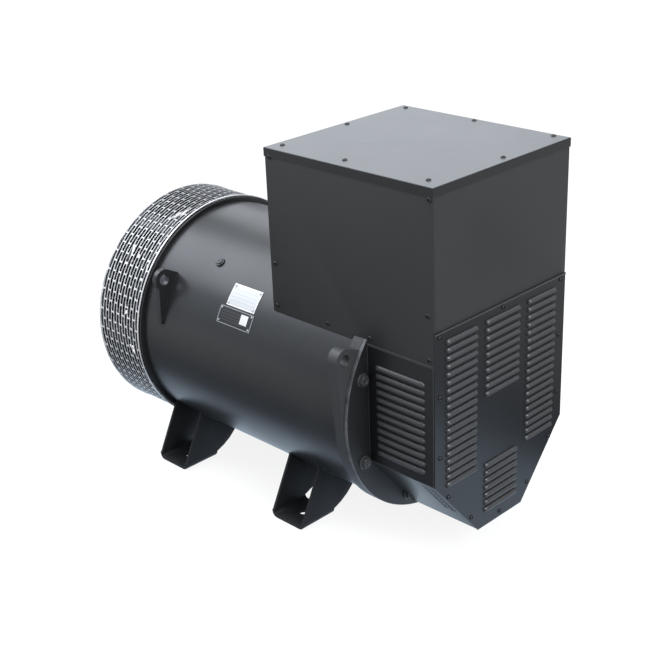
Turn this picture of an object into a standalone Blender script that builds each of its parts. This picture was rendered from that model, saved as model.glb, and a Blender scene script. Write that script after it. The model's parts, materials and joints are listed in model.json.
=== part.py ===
# A single-bearing alternator head: steel barrel on four bent feet, drive-end adaptor behind
# a slotted screen, louvred air inlet at the other end and a tall terminal box above it.
# Metres, +Z up, shaft along X, drive end at -X. Meshes are drawn about the shaft line.

import bpy
import bmesh
from math import acos, asin, atan2, cos, hypot, pi, radians, sin, sqrt, tau
from mathutils import Vector
from mathutils.geometry import delaunay_2d_cdt

# Whole machine
seat = 0.0003
sheet = 0.0015
overrun = 0.010
round_steps = 40
middle_steps = 28
small_steps = 28
hole_steps = 6

# Lengths along the shaft, drive end first
coupling_reach = 0.0254
adaptor_length = 0.163
drive_ring_thickness = 0.020
barrel_length = 0.737
end_ring_thickness = 0.030
bracket_rim_thickness = 0.010
inlet_depth = 0.2055
louvre_rise = 0.007

# Frame, from the core outwards
core_bore_radius = 0.205
core_depth = 0.0997
drive_ring_step = 0.00035
drive_ring_proud = 0.0125
drive_ring_bite = 0.015
end_ring_proud = 0.008
end_ring_bite = 0.049
barrel_wall = 0.006
barrel_above_floor = 0.059
core_radius = core_bore_radius + core_depth
barrel_radius = core_radius + seat + barrel_wall
drive_ring_radius = barrel_radius + drive_ring_proud
adaptor_flange_radius = drive_ring_radius + drive_ring_step
drive_ring_bore = barrel_radius - drive_ring_bite
end_ring_radius = barrel_radius + end_ring_proud
end_ring_bore = barrel_radius - end_ring_bite
shaft_height = barrel_radius + barrel_above_floor
lead_window_length = 0.090
lead_window_angle = radians(22.5)
lead_window_from_box_back = 0.0837

# Lifting ears
drive_ear_angle = radians(34)
ear_above_box_bottom = 0.004653
ear_reach = 0.033
ear_eye_radius = 0.029
ear_hole_radius = 0.015
ear_thickness = 0.015
ear_tail_sweep = radians(21)
ear_shoulder_sweep = radians(6)
ear_tail_end = 0.006
ear_head_turn = radians(85)
drive_ear_head_sweep = radians(165)
drive_ear_from_ring = 0.066

# Feet
foot_length = 0.116
foot_sheet = 0.008
foot_edge_inset = 0.012
foot_width = 0.115
foot_bend = 0.016
foot_from_drive_ring = 0.003
foot_from_end_ring = 0.151
foot_top_outer_angle = radians(43)
foot_top_inner_angle = radians(62)
foot_hole_radius = 0.010
foot_outer = barrel_radius - foot_edge_inset
foot_inner = foot_outer - foot_width

# Drive-end adaptor, flange to the engine housing
adaptor_flange_thickness = 0.018
adaptor_flange_width = 0.03175
adaptor_spigot_height = 0.005
adaptor_spigot_width = 0.0321
adaptor_bolt_edge = 0.01429
adaptor_bolt_radius = 0.00675
adaptor_bolt_count = 12
adaptor_rear_thickness = 0.014
adaptor_arm_count = 6
adaptor_arm_width = 0.046
adaptor_arm_thickness = 0.016
adaptor_pilot_radius = adaptor_flange_radius - adaptor_flange_width
adaptor_mouth_radius = adaptor_pilot_radius - adaptor_spigot_width
adaptor_bolt_circle_radius = adaptor_flange_radius - adaptor_bolt_edge

# Outlet screen
screen_sheet = 0.0012
screen_slots_round = 30
screen_rows = 4
screen_stagger_share = 0.5
screen_tie = 0.007
screen_web = 0.010
screen_margin = 0.012
screen_back = 0.002
screen_bare_ring = 0.006

# Non-drive-end bracket
bracket_bolt_edge = 0.033
bracket_bolt_circle_radius = end_ring_radius - bracket_bolt_edge
bracket_bolt_radius = 0.009
bracket_bolt_count = 8
bracket_rim_width = 0.083
bracket_arm_count = 6
bracket_arm_width = 0.044
bracket_arm_thickness = 0.016
bracket_arm_taper_share = 0.7
bracket_hub_wall = 0.018
bracket_hub_length = 0.070
bracket_middle_depth = 0.010
bracket_arm_set_back = 0.0015

# Bearing and its cartridge
bearing_bore_radius = 0.045
bearing_outer_radius = 0.095
bearing_width = 0.043
race_thickness = 0.011
ball_radius = 0.0145
ball_count = 8
race_clearance = 0.0006
cage_width = 0.012
cage_thickness = 0.004
cartridge_wall = 0.012
cap_thickness = 0.006

# Shaft
shaft_radius = 0.055
shaft_tail_radius = 0.030
shaft_tail_length = 0.160
shaft_shoulder_length = 0.050
shaft_hub_radius = 0.050
shaft_chamfer = 0.003

# Stator core and winding
core_length = 0.400
core_from_end_ring = 0.165
slot_count = 24
slot_depth = 0.034
slot_width_share = 0.45
winding_reach = 0.078
winding_bore_gap = 0.009
winding_edge_gap = 0.0287
winding_neck_height = 0.041
winding_inner_radius = core_bore_radius + winding_bore_gap
winding_outer_radius = core_radius - winding_edge_gap
winding_neck_outer_radius = core_bore_radius + winding_neck_height
winding_round = 0.014
winding_neck_share = 0.25

# Rotor
air_gap = 0.0025
pole_count = 4
pole_body_half_width = 0.058
pole_shoe_half_angle = radians(33)
pole_shoe_thickness = 0.020
pole_reach = 0.105
pole_root_radius = core_bore_radius - pole_reach
coil_width = 0.030
coil_clearance = 0.001
coil_end_reach = 0.042
coil_seat_share = 0.35
coil_corner_share = 0.8
wedge_thickness = 0.040
wedge_depth_share = 0.8
wedge_limit_share = 0.86
wedge_crown_share = 0.3

# Fan
fan_clearance = 0.0121
fan_blade_reach = 0.085
fan_radius = adaptor_pilot_radius - fan_clearance
fan_eye_radius = fan_radius - fan_blade_reach
fan_hub_radius = 0.088
fan_disc_thickness = 0.006
fan_depth = 0.078
fan_blade_count = 12
fan_blade_thickness = 0.005
fan_from_ring = 0.010
fan_blade_lean = radians(18)
fan_blade_root_share = 0.62
fan_blade_throat_share = 0.55

# Coupling
hub_radius = 0.086
hub_flange_radius = 0.130
hub_flange_thickness = 0.022
disc_radius = 0.23338
disc_pack_thickness = 0.0048
disc_bolt_circle_radius = 0.21908
disc_bolt_radius = 0.0067
disc_bolt_count = 8
disc_pack_bore_radius = 0.040

# Exciter, rectifier and pilot exciter
exciter_gap_to_cap = 0.012
exciter_width = 0.050
exciter_air_gap = 0.001
exciter_armature_radius = 0.098
exciter_stator_radius = 0.140
exciter_pole_count = 8
exciter_pole_depth = 0.016
exciter_pole_share = 0.55
exciter_standoff_width = 0.020
exciter_standoff_bite_share = 0.7
sleeve_wall = 0.010
rectifier_gap = 0.008
rectifier_thickness = 0.006
rectifier_radius = 0.090
rectifier_split = 0.010
diode_radius = 0.010
diode_height = 0.012
diode_circle_radius = 0.070
diode_count = 3
pilot_width = 0.020
pilot_rotor_radius = 0.058
pilot_stator_radius = 0.086
pilot_tooth_depth = 0.012
pilot_tooth_count = 9
pilot_air_gap = 0.001
pilot_arm_width = 0.018
pilot_arm_thickness = 0.004
pilot_arm_count = 3
pilot_post_share = 0.7

# Terminal box
box_side_inset = 0.066
box_length = 0.518
box_above_barrel = 0.301
box_barrel_gap = 0.003438
box_floor_gap = 0.014
box_post = 0.022
box_rail = 0.018
lid_skirt = 0.022
lid_rise = 0.004
gland_window_width = 0.260
gland_window_height = 0.100
gland_window_above_floor = 0.040
gland_plate_margin = 0.018
gland_plate_thickness = 0.003
ring_notch_clearance = 0.002
lead_hole_radius = 0.045

# Inside the terminal box
board_length = 0.200
board_width = 0.110
board_thickness = 0.015
board_feet_height = 0.020
stud_radius = 0.006
stud_height = 0.034
stud_count = 6
board_gap_share = 0.368
transformer_side = 0.062
transformer_depth = 0.028
transformer_hole_radius = 0.017
transformer_count = 3
transformer_pitch = 0.080
transformer_gap_share = 0.494
regulator_length = 0.150
regulator_width = 0.120
regulator_height = 0.040
regulator_fin_count = 6
regulator_fin_height = 0.014
regulator_fin_share = 0.4

# Air inlet cover
inlet_flank_height = 0.186
inlet_base_inset = 0.013
inlet_base_half_width = 0.086
inlet_plate_lap = 0.081
inlet_return = 0.014
inlet_fold_share = 0.4
louvre_pitch = 0.0203
louvre_height = 0.0145
louvre_edge_margin = 0.0378
louvre_column_gap = 0.0272
louvre_base_margin = 0.020
louvre_first_drop = 0.029
louvre_below_shoulder = 0.010
louvre_lower_drop = 0.017
louvre_blank_height = 0.187
louvre_foot = 0.020
louvre_panel_margin = 0.02555
louvre_panel_first_drop = 0.042
louvre_end_slope = 0.006
louvre_shoulder_share = 0.55
louvre_knee_rise_share = 0.8

# Rating plate and plug
plate_length = 0.122
plate_angle_low = radians(24.5)
plate_angle_high = radians(44.8)
plate_thickness = 0.001
plate_from_end_ring = 0.329

# Places along the shaft, worked out from the lengths
overall_length = (coupling_reach + adaptor_length + drive_ring_thickness + barrel_length
                  + end_ring_thickness + bracket_rim_thickness + inlet_depth + louvre_rise
                  + 4 * seat)
coupling_x = -overall_length / 2
adaptor_x = coupling_x + coupling_reach
adaptor_back_x = adaptor_x + adaptor_length
drive_ring_x = adaptor_back_x + seat
barrel_x = drive_ring_x + drive_ring_thickness + seat
end_ring_x = barrel_x + barrel_length + seat
bracket_x = end_ring_x + end_ring_thickness + seat
bracket_face_x = bracket_x + bracket_rim_thickness
cover_x = bracket_face_x + inlet_depth
box_x = cover_x - sheet - seat
box_back_x = box_x - box_length
lead_window_x = box_back_x + lead_window_from_box_back
tray_space = box_length - 2 * box_rail - board_width - transformer_depth - regulator_width
core_x = end_ring_x - core_from_end_ring - core_length
half_width = barrel_radius - box_side_inset
box_bottom = sqrt(barrel_radius ** 2 - half_width ** 2) + box_barrel_gap
box_top = barrel_radius + box_above_barrel
box_floor = barrel_radius + box_floor_gap
end_ear_angle = asin((box_bottom + ear_above_box_bottom - ear_eye_radius)
                     / (end_ring_radius + ear_reach))
bracket_middle_x = bracket_face_x - bracket_middle_depth
bracket_arm_face_x = bracket_face_x - bracket_arm_set_back
bearing_x = bracket_middle_x - bearing_width / 2
fan_x = drive_ring_x - fan_from_ring - fan_depth
screen_inner_radius = (adaptor_flange_radius + seat) / cos(pi / screen_slots_round)

# The inlet cover and its louvres, which gain or lose copies with the space for them
inlet_base = inlet_base_inset - barrel_radius
inlet_shoulder = inlet_base + inlet_flank_height
inlet_plate_top = box_bottom + inlet_plate_lap
louvre_middle_length = 2 * (inlet_base_half_width - louvre_base_margin)
louvre_side_length = (half_width - louvre_edge_margin - louvre_column_gap
                      - louvre_middle_length / 2)
louvre_column_offset = half_width - louvre_edge_margin - louvre_side_length / 2
louvre_top = inlet_plate_top - louvre_first_drop
louvre_lower_start = inlet_shoulder - louvre_lower_drop
louvre_blank_top = louvre_lower_start + louvre_blank_height
louvre_column_count = 1 + int((louvre_top - inlet_shoulder + louvre_below_shoulder)
                              / louvre_pitch)
louvre_upper_count = 1 + int((louvre_top - louvre_blank_top) / louvre_pitch)
louvre_lower_count = int((louvre_lower_start - inlet_base - louvre_foot) / louvre_pitch)
louvre_panel_length = inlet_depth - sheet - 3 * seat - 2 * louvre_panel_margin
louvre_panel_count = 1 + int((box_bottom - louvre_panel_first_drop - inlet_shoulder
                              - louvre_height - louvre_foot) / louvre_pitch)


def clear_scene():
    for thing in list(bpy.data.objects):
        bpy.data.objects.remove(thing, do_unlink=True)


def empty(name, place):
    thing = bpy.data.objects.new(name, None)
    thing.location = place
    bpy.context.collection.objects.link(thing)
    return thing


def paint(name, colour, roughness, metallic):
    made = bpy.data.materials.get(name)
    if made:
        return made
    made = bpy.data.materials.new(name)
    made.use_nodes = True
    shader = made.node_tree.nodes["Principled BSDF"]
    shader.inputs["Base Color"].default_value = (*colour, 1)
    shader.inputs["Roughness"].default_value = roughness
    shader.inputs["Metallic"].default_value = metallic
    made.diffuse_color = (*colour, 1)
    return made


def black_paint():
    return paint("black_satin_paint", (0.025, 0.026, 0.028), 0.38, 0)


def textured_paint():
    return paint("black_textured_coat", (0.028, 0.029, 0.031), 0.55, 0)


def cast_paint():
    return paint("painted_casting", (0.03, 0.031, 0.033), 0.5, 0)


def zinc():
    return paint("zinc_sheet", (0.72, 0.73, 0.74), 0.35, 1)


def bright_steel():
    return paint("bright_steel", (0.55, 0.55, 0.56), 0.25, 1)


def core_steel():
    return paint("core_steel", (0.22, 0.23, 0.25), 0.5, 0.8)


def copper():
    return paint("varnished_copper", (0.42, 0.12, 0.04), 0.35, 0.6)


def aluminium():
    return paint("cast_aluminium", (0.62, 0.63, 0.65), 0.45, 1)


def insulation():
    return paint("insulating_board", (0.33, 0.17, 0.08), 0.6, 0)


def plastic():
    return paint("black_plastic", (0.02, 0.02, 0.022), 0.45, 0)


def label():
    return paint("aluminium_label", (0.78, 0.79, 0.8), 0.35, 0.7)


def finish(name, mesh, material, parent, smooth_angle=radians(28)):
    bmesh.ops.recalc_face_normals(mesh, faces=mesh.faces)
    data = bpy.data.meshes.new(name)
    mesh.to_mesh(data)
    mesh.free()
    data.materials.append(material)
    data.shade_smooth()
    data.set_sharp_from_angle(angle=smooth_angle)
    thing = bpy.data.objects.new(name, data)
    bpy.context.collection.objects.link(thing)
    thing.parent = parent
    return thing


# Directions in which a flat outline (u, v) is drawn and w is its thickness
def facing_x(u, v, w):
    return (w, u, v)


def facing_y(u, v, w):
    return (u, w, v)


def facing_z(u, v, w):
    return (u, v, w)


def inside(point, loop):
    hit = False
    for (ax, ay), (bx, by) in zip(loop, loop[1:] + loop[:1]):
        if (ay > point[1]) != (by > point[1]):
            if point[0] < ax + (bx - ax) * (point[1] - ay) / (by - ay):
                hit = not hit
    return hit


def fill(loops):
    """Triangles, as index triples, of the first loop less the others."""
    points = [Vector(p) for loop in loops for p in loop]
    edges = []
    first = 0
    for loop in loops:
        edges += [(first + i, first + (i + 1) % len(loop)) for i in range(len(loop))]
        first += len(loop)
    scale = max(abs(c) for p in points for c in p)
    found = delaunay_2d_cdt(points, edges, [], 0, scale * 1e-7)
    verts, faces, origin = found[0], found[2], found[3]
    triangles = []
    for face in faces:
        middle = sum((verts[i] for i in face), Vector((0, 0))) / len(face)
        if inside(middle, loops[0]) and not any(inside(middle, hole) for hole in loops[1:]):
            triangles.append([origin[i][0] for i in face])
    return triangles


def plate_mesh(loops, low, high, place):
    """A flat piece between w = low and w = high, with the later loops as holes."""
    mesh = bmesh.new()
    points = [p for loop in loops for p in loop]
    bottom = [mesh.verts.new(place(u, v, low)) for u, v in points]
    top = [mesh.verts.new(place(u, v, high)) for u, v in points]
    for a, b, c in fill(loops):
        mesh.faces.new((bottom[a], bottom[c], bottom[b]))
        mesh.faces.new((top[a], top[b], top[c]))
    first = 0
    for loop in loops:
        count = len(loop)
        for i in range(count):
            j = first + (i + 1) % count
            k = first + i
            mesh.faces.new((bottom[k], bottom[j], top[j], top[k]))
        first += count
    return mesh


def plate(name, loops, low, high, place, material, parent):
    return finish(name, plate_mesh(loops, low, high, place), material, parent)


def turned_mesh(profile, steps=round_steps, start=0.0):
    """A closed (x, radius) outline turned about the shaft line."""
    mesh = bmesh.new()
    rings = []
    for x, radius in profile:
        if radius == 0:
            rings.append([mesh.verts.new((x, 0, 0))])
        else:
            rings.append([mesh.verts.new((x, radius * cos(start + tau * k / steps),
                                          radius * sin(start + tau * k / steps)))
                          for k in range(steps)])
    for here, there in zip(rings, rings[1:] + rings[:1]):
        for k in range(steps):
            n = (k + 1) % steps
            corners = [here[k % len(here)], here[n % len(here)],
                       there[n % len(there)], there[k % len(there)]]
            corners = list(dict.fromkeys(corners))
            if len(corners) > 2:
                mesh.faces.new(corners)
    return mesh


def turned(name, profile, material, parent, steps=round_steps):
    return finish(name, turned_mesh(profile, steps), material, parent)


def tube(x, length, inner, outer):
    return [(x, inner), (x, outer), (x + length, outer), (x + length, inner)]


def circle(u, v, radius, steps=24, start=0.0):
    return [(u + radius * cos(start + tau * k / steps), v + radius * sin(start + tau * k / steps))
            for k in range(steps)]


def arc(radius, start, stop, steps):
    return [(radius * cos(start + (stop - start) * k / steps),
             radius * sin(start + (stop - start) * k / steps)) for k in range(steps + 1)]


def holes_on_circle(count, circle_radius, radius, steps=12, start=0.0):
    return [circle(circle_radius * cos(start + tau * k / count),
                   circle_radius * sin(start + tau * k / count), radius, steps)
            for k in range(count)]


def block_mesh(low, high):
    mesh = bmesh.new()
    bmesh.ops.create_cube(mesh, size=1)
    for vert in mesh.verts:
        for axis in range(3):
            vert.co[axis] = high[axis] if vert.co[axis] > 0 else low[axis]
    return mesh


def hidden(name, mesh):
    thing = finish(name, mesh, plastic(), None)
    return thing


def joined(thing, tools, operation):
    """Union with or cut by plain tool objects, applied, and the tools removed."""
    for tool in tools:
        tool.parent = thing.parent
        step = thing.modifiers.new(tool.name, "BOOLEAN")
        step.operation = operation
        step.solver = "EXACT"
        step.object = tool
    bpy.context.view_layer.update()
    ready = thing.evaluated_get(bpy.context.evaluated_depsgraph_get())
    data = bpy.data.meshes.new_from_object(ready)
    data.name = thing.name
    thing.modifiers.clear()
    thing.data = data
    for tool in tools:
        bpy.data.objects.remove(tool, do_unlink=True)
    return thing


def mirrored(loop):
    return [(-u, v) for u, v in reversed(loop)]


# Frame

def frame_barrel(parent):
    inner = barrel_radius - barrel_wall
    barrel = turned("frame_barrel", tube(barrel_x, barrel_length, inner, barrel_radius),
                    black_paint(), parent)
    middle = lead_window_x
    half = barrel_radius * sin(lead_window_angle / 2)
    cutter = hidden("lead_window", block_mesh(
        (middle - lead_window_length / 2, -half, inner - overrun),
        (middle + lead_window_length / 2, half, barrel_radius + overrun)))
    return joined(barrel, [cutter], "DIFFERENCE")


def ear_outline(base_radius, angle, side, tail_sweep, tail_end, head_sweep):
    """Crescent against a round from the tail up to the eye and over its shoulder."""
    eye = base_radius + ear_reach
    centre = (-eye * cos(angle), eye * sin(angle))
    shoulder, tail = angle + ear_shoulder_sweep, angle - tail_sweep
    inner = [(-base_radius * cos(a), base_radius * sin(a)) for a in
             (shoulder + (tail - shoulder) * k / 8 for k in range(9))]
    toward_tail = pi - ear_head_turn - angle + head_sweep
    head = [(centre[0] + ear_eye_radius * cos(toward_tail - head_sweep * k / 10),
             centre[1] + ear_eye_radius * sin(toward_tail - head_sweep * k / 10))
            for k in range(11)]
    blunt = base_radius + tail_end
    cut = [(-blunt * cos(tail), blunt * sin(tail))] if tail_end else []
    loop = inner + cut + head
    hole = circle(centre[0], centre[1], ear_hole_radius, 16)
    if side > 0:
        return [mirrored(loop), mirrored(hole)]
    return [loop, hole]


def drive_end_ring(parent):
    hole = circle(0, 0, drive_ring_bore, round_steps)
    plate("drive_end_ring", [circle(0, 0, drive_ring_radius, round_steps), hole],
          drive_ring_x, drive_ring_x + drive_ring_thickness, facing_x, black_paint(), parent)


def drive_end_ears(parent):
    x = barrel_x + drive_ear_from_ring
    for name, side in (("left", -1), ("right", 1)):
        loops = ear_outline(barrel_radius + seat, drive_ear_angle, side, ear_tail_sweep,
                            ear_tail_end, drive_ear_head_sweep)
        plate("drive_end_lifting_ear_" + name, loops, x, x + ear_thickness, facing_x,
              black_paint(), parent)


def non_drive_end_ring(parent):
    """The welded end ring, whose outline runs out at a tangent into the two lifting ears."""
    tail_sweep = acos((end_ring_radius - ear_eye_radius) / (end_ring_radius + ear_reach))
    shape = (tail_sweep, 0, ear_head_turn + tail_sweep)
    left_loop, left_hole = ear_outline(end_ring_radius, end_ear_angle, -1, *shape)
    right_loop, right_hole = ear_outline(end_ring_radius, end_ear_angle, 1, *shape)
    head_left = left_loop[9:]
    head_right = right_loop[:-9]
    top_from = end_ear_angle + ear_shoulder_sweep
    top = [(end_ring_radius * cos(a), end_ring_radius * sin(a)) for a in
           (top_from + (pi - 2 * top_from) * k / 16 for k in range(17))]
    tail = end_ear_angle - tail_sweep
    low_from = pi - tail
    low_sweep = pi + 2 * tail
    low = [(end_ring_radius * cos(low_from + low_sweep * k / 44),
            end_ring_radius * sin(low_from + low_sweep * k / 44)) for k in range(45)]
    rim = top + list(reversed(head_left)) + low + list(reversed(head_right))
    bolts = holes_on_circle(bracket_bolt_count, bracket_bolt_circle_radius, bracket_bolt_radius,
                            hole_steps, pi / bracket_bolt_count)
    plate("non_drive_end_ring",
          [rim, circle(0, 0, end_ring_bore, round_steps), left_hole, right_hole] + bolts,
          end_ring_x, end_ring_x + end_ring_thickness, facing_x, black_paint(), parent)


def foot(name, x, side, parent):
    """A plate bent into a channel: base on the floor, two webs up to the barrel."""
    reach = barrel_radius + seat
    web_top = [(-reach * cos(a), -reach * sin(a)) for a in
               (foot_top_outer_angle + (foot_top_inner_angle - foot_top_outer_angle) * k / 6
                for k in range(7))]
    curve = []
    start = web_top[-1]
    knee = (-foot_inner, start[1] - (shaft_height + start[1]) / 2)
    for k in range(1, 5):
        share = k / 4
        curve.append(((1 - share) ** 2 * start[0] + 2 * share * (1 - share) * knee[0]
                      - share ** 2 * foot_inner,
                      (1 - share) ** 2 * start[1] + 2 * share * (1 - share) * knee[1]
                      - share ** 2 * (shaft_height - foot_bend)))
    web = web_top + curve + [(-foot_outer, -shaft_height + foot_bend)]
    if side > 0:
        web = mirrored(web)
    near = plate_mesh([web], x, x + foot_sheet, facing_x)
    far = plate_mesh([web], x + foot_length - foot_sheet, x + foot_length, facing_x)
    thing = finish(name, near, black_paint(), parent)
    low, high = (-foot_outer, -foot_inner) if side < 0 else (foot_inner, foot_outer)
    lift = -shaft_height + foot_bend
    bend = [(x + foot_bend - foot_bend * cos(a), lift - foot_bend * sin(a))
            for a in (pi / 2 * k / 3 for k in range(4))]
    small = foot_bend - foot_sheet
    bend_in = [(x + foot_bend - small * cos(a), lift - small * sin(a))
               for a in (pi / 2 * k / 3 for k in range(3, -1, -1))]
    middle = x + foot_length / 2
    outer = bend + [(2 * middle - u, v) for u, v in reversed(bend)]
    inner = [(2 * middle - u, v) for u, v in reversed(bend_in)] + bend_in
    raised = overrun / 2
    outer = [(x, lift + raised)] + outer + [(x + foot_length, lift + raised)]
    inner = ([(x + foot_length - foot_sheet, lift + raised)] + inner
             + [(x + foot_sheet, lift + raised)])
    channel = plate_mesh([outer + inner], low, high, facing_y)
    base = hidden(name + "_channel", channel)
    web_far = hidden(name + "_far_web", far)
    thing = joined(thing, [web_far, base], "UNION")
    hole = hidden(name + "_hole", plate_mesh(
        [circle(middle, (low + high) / 2, foot_hole_radius, 16)],
        -shaft_height - overrun, lift, facing_z))
    return joined(thing, [hole], "DIFFERENCE")


def feet(parent):
    near_x = end_ring_x - foot_from_end_ring - foot_length
    for end, x in (("non_drive_end", near_x),
                   ("drive_end", barrel_x + foot_from_drive_ring)):
        for name, side in (("left", -1), ("right", 1)):
            foot("foot_%s_%s" % (end, name), x, side, parent)


# Drive-end adaptor and its screen

def spigoted_flange(bolts):
    """The front flange: bolt holes in its face and a spigot ring round its mouth."""
    mesh = bmesh.new()
    rim, pilot, mouth = (circle(0, 0, radius, round_steps) for radius in
                         (adaptor_flange_radius, adaptor_pilot_radius, adaptor_mouth_radius))
    face, back = adaptor_x, adaptor_x + adaptor_flange_thickness
    spigot = adaptor_x - adaptor_spigot_height

    def at(loop, x):
        return [mesh.verts.new(facing_x(u, v, x)) for u, v in loop]

    def flat(loops, verts):
        every = [vert for loop in verts for vert in loop]
        for triangle in fill(loops):
            mesh.faces.new([every[i] for i in triangle])

    def wall(here, there):
        for k in range(len(here)):
            n = (k + 1) % len(here)
            mesh.faces.new((here[k], here[n], there[n], there[k]))

    rim_face, rim_back = at(rim, face), at(rim, back)
    pilot_face, pilot_front = at(pilot, face), at(pilot, spigot)
    mouth_front, mouth_back = at(mouth, spigot), at(mouth, back)
    bolts_face, bolts_back = [at(b, face) for b in bolts], [at(b, back) for b in bolts]
    flat([rim, pilot] + bolts, [rim_face, pilot_face] + bolts_face)
    flat([pilot, mouth], [pilot_front, mouth_front])
    flat([rim, mouth] + bolts, [rim_back, mouth_back] + bolts_back)
    for here, there in ([(rim_face, rim_back), (pilot_face, pilot_front),
                         (mouth_front, mouth_back)] + list(zip(bolts_face, bolts_back))):
        wall(here, there)
    return mesh


def drive_end_adaptor(parent):
    """A spigoted front flange, a rear flange and the arms between, open for the air."""
    bolts = holes_on_circle(adaptor_bolt_count, adaptor_bolt_circle_radius, adaptor_bolt_radius,
                            hole_steps, pi / adaptor_bolt_count)
    thing = finish("drive_end_adaptor", spigoted_flange(bolts), cast_paint(), parent)
    rear = hidden("adaptor_rear", turned_mesh(
        tube(adaptor_back_x - adaptor_rear_thickness, adaptor_rear_thickness,
             drive_ring_bore, adaptor_flange_radius)))
    arms = []
    outer = adaptor_flange_radius - sheet
    inner = outer - adaptor_arm_thickness
    bite = adaptor_rear_thickness / 2
    for k in range(adaptor_arm_count):
        middle = tau * k / adaptor_arm_count
        half = asin(adaptor_arm_width / 2 / outer)
        loop = (arc(outer, middle - half, middle + half, 3)
                + list(reversed(arc(inner, middle - half, middle + half, 3))))
        arms.append(hidden("adaptor_arm_%d" % k, plate_mesh(
            [loop], adaptor_x + bite, adaptor_back_x - bite, facing_x)))
    return joined(thing, [rear] + arms, "UNION")


def outlet_screen(parent):
    """A rolled sheet with staggered slots; each slot is long around the circumference."""
    steps = screen_slots_round
    pitch = tau / steps
    tie = screen_tie / screen_inner_radius
    start = adaptor_x + screen_back
    length = barrel_x - seat - screen_bare_ring - start
    row = (length - 2 * screen_margin + screen_web) / screen_rows
    mesh = bmesh.new()
    radii = (screen_inner_radius, screen_inner_radius + screen_sheet)

    def ring(x, angles):
        return [[mesh.verts.new((x, r * cos(a), r * sin(a))) for a in angles] for r in radii]

    def slot_angles(shift):
        return [a for k in range(steps)
                for a in (pitch * (k + shift) + tie / 2, pitch * (k + 1 + shift) - tie / 2)]

    def strip(low, high):
        """Two faces per step between rings of equal count, on both sides of the sheet."""
        count = len(low[0])
        for side in (0, 1):
            for k in range(count):
                n = (k + 1) % count
                mesh.faces.new((low[side][k], low[side][n], high[side][n], high[side][k]))

    def staggered(low, high):
        """The web between two slot rows that are half a pitch apart."""
        count = len(low[0])
        for side in (0, 1):
            for k in range(0, count, 2):
                after = (k + 1) % count
                beyond = (k + 2) % count
                mesh.faces.new((low[side][k], low[side][after], high[side][after],
                                high[side][k]))
                mesh.faces.new((low[side][after], low[side][beyond], high[side][beyond],
                                high[side][after]))

    def edge(rim):
        count = len(rim[0])
        for k in range(count):
            n = (k + 1) % count
            mesh.faces.new((rim[0][k], rim[0][n], rim[1][n], rim[1][k]))

    first = ring(start, slot_angles(0))
    edge(first)
    below = first
    x = start + screen_margin
    for index in range(screen_rows):
        shift = screen_stagger_share * (index % 2)
        low = ring(x, slot_angles(shift))
        if index == 0:
            strip(below, low)
        else:
            if shift:
                aligned = [below[s][1:] + below[s][:1] for s in (0, 1)]
                aligned_low = low
            else:
                aligned = below
                aligned_low = [low[s][1:] + low[s][:1] for s in (0, 1)]
            staggered(aligned, aligned_low)
        high = ring(x + row - screen_web, slot_angles(shift))
        count = 2 * steps
        for k in range(0, count, 2):
            after = k + 1
            beyond = (k + 2) % count
            for side in (0, 1):
                mesh.faces.new((low[side][after], low[side][beyond], high[side][beyond],
                                high[side][after]))
            mesh.faces.new((low[0][k], low[0][after], low[1][after], low[1][k]))
            mesh.faces.new((high[0][k], high[0][after], high[1][after], high[1][k]))
            mesh.faces.new((low[0][k], low[1][k], high[1][k], high[0][k]))
            mesh.faces.new((low[0][after], low[1][after], high[1][after], high[0][after]))
        below = high
        x += row
    last = ring(start + length, slot_angles(0.5 * ((screen_rows - 1) % 2)))
    strip(below, last)
    edge(last)
    return finish("outlet_screen", mesh, zinc(), parent)


# Non-drive end: bracket, bearing, covers

def nde_bracket(parent):
    """A cast spider: bolted rim, hub around the bearing and arms with air windows."""
    bore = bearing_outer_radius + cartridge_wall + seat
    hub = bore + bracket_hub_wall
    rim = end_ring_radius
    bolts = holes_on_circle(bracket_bolt_count, bracket_bolt_circle_radius, bracket_bolt_radius,
                            hole_steps, pi / bracket_bolt_count)
    outer = plate_mesh([circle(0, 0, rim, round_steps),
                        circle(0, 0, rim - bracket_rim_width, round_steps)] + bolts,
                       bracket_x, bracket_face_x, facing_x)
    thing = finish("non_drive_end_bracket", outer, cast_paint(), parent)
    hub_x = bracket_middle_x - bracket_hub_length / 2
    centre = hidden("bracket_hub", turned_mesh(tube(hub_x, bracket_hub_length, bore, hub), middle_steps))
    arms = []
    half = bracket_arm_width / 2
    for k in range(bracket_arm_count):
        turn = tau * (k + 0.5) / bracket_arm_count
        inner_u = bore + bracket_hub_wall / 2
        outer_u = end_ring_bore - 2 * sheet
        taper = bracket_arm_taper_share
        corners = [(inner_u, -half), (outer_u, -half * taper), (outer_u, half * taper),
                   (inner_u, half)]
        loop = [(u * cos(turn) - v * sin(turn), u * sin(turn) + v * cos(turn))
                for u, v in corners]
        arms.append(hidden("bracket_arm_%d" % k, plate_mesh(
            [loop], bracket_arm_face_x - bracket_arm_thickness, bracket_arm_face_x, facing_x)))
    return joined(thing, [centre] + arms, "UNION")


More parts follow.
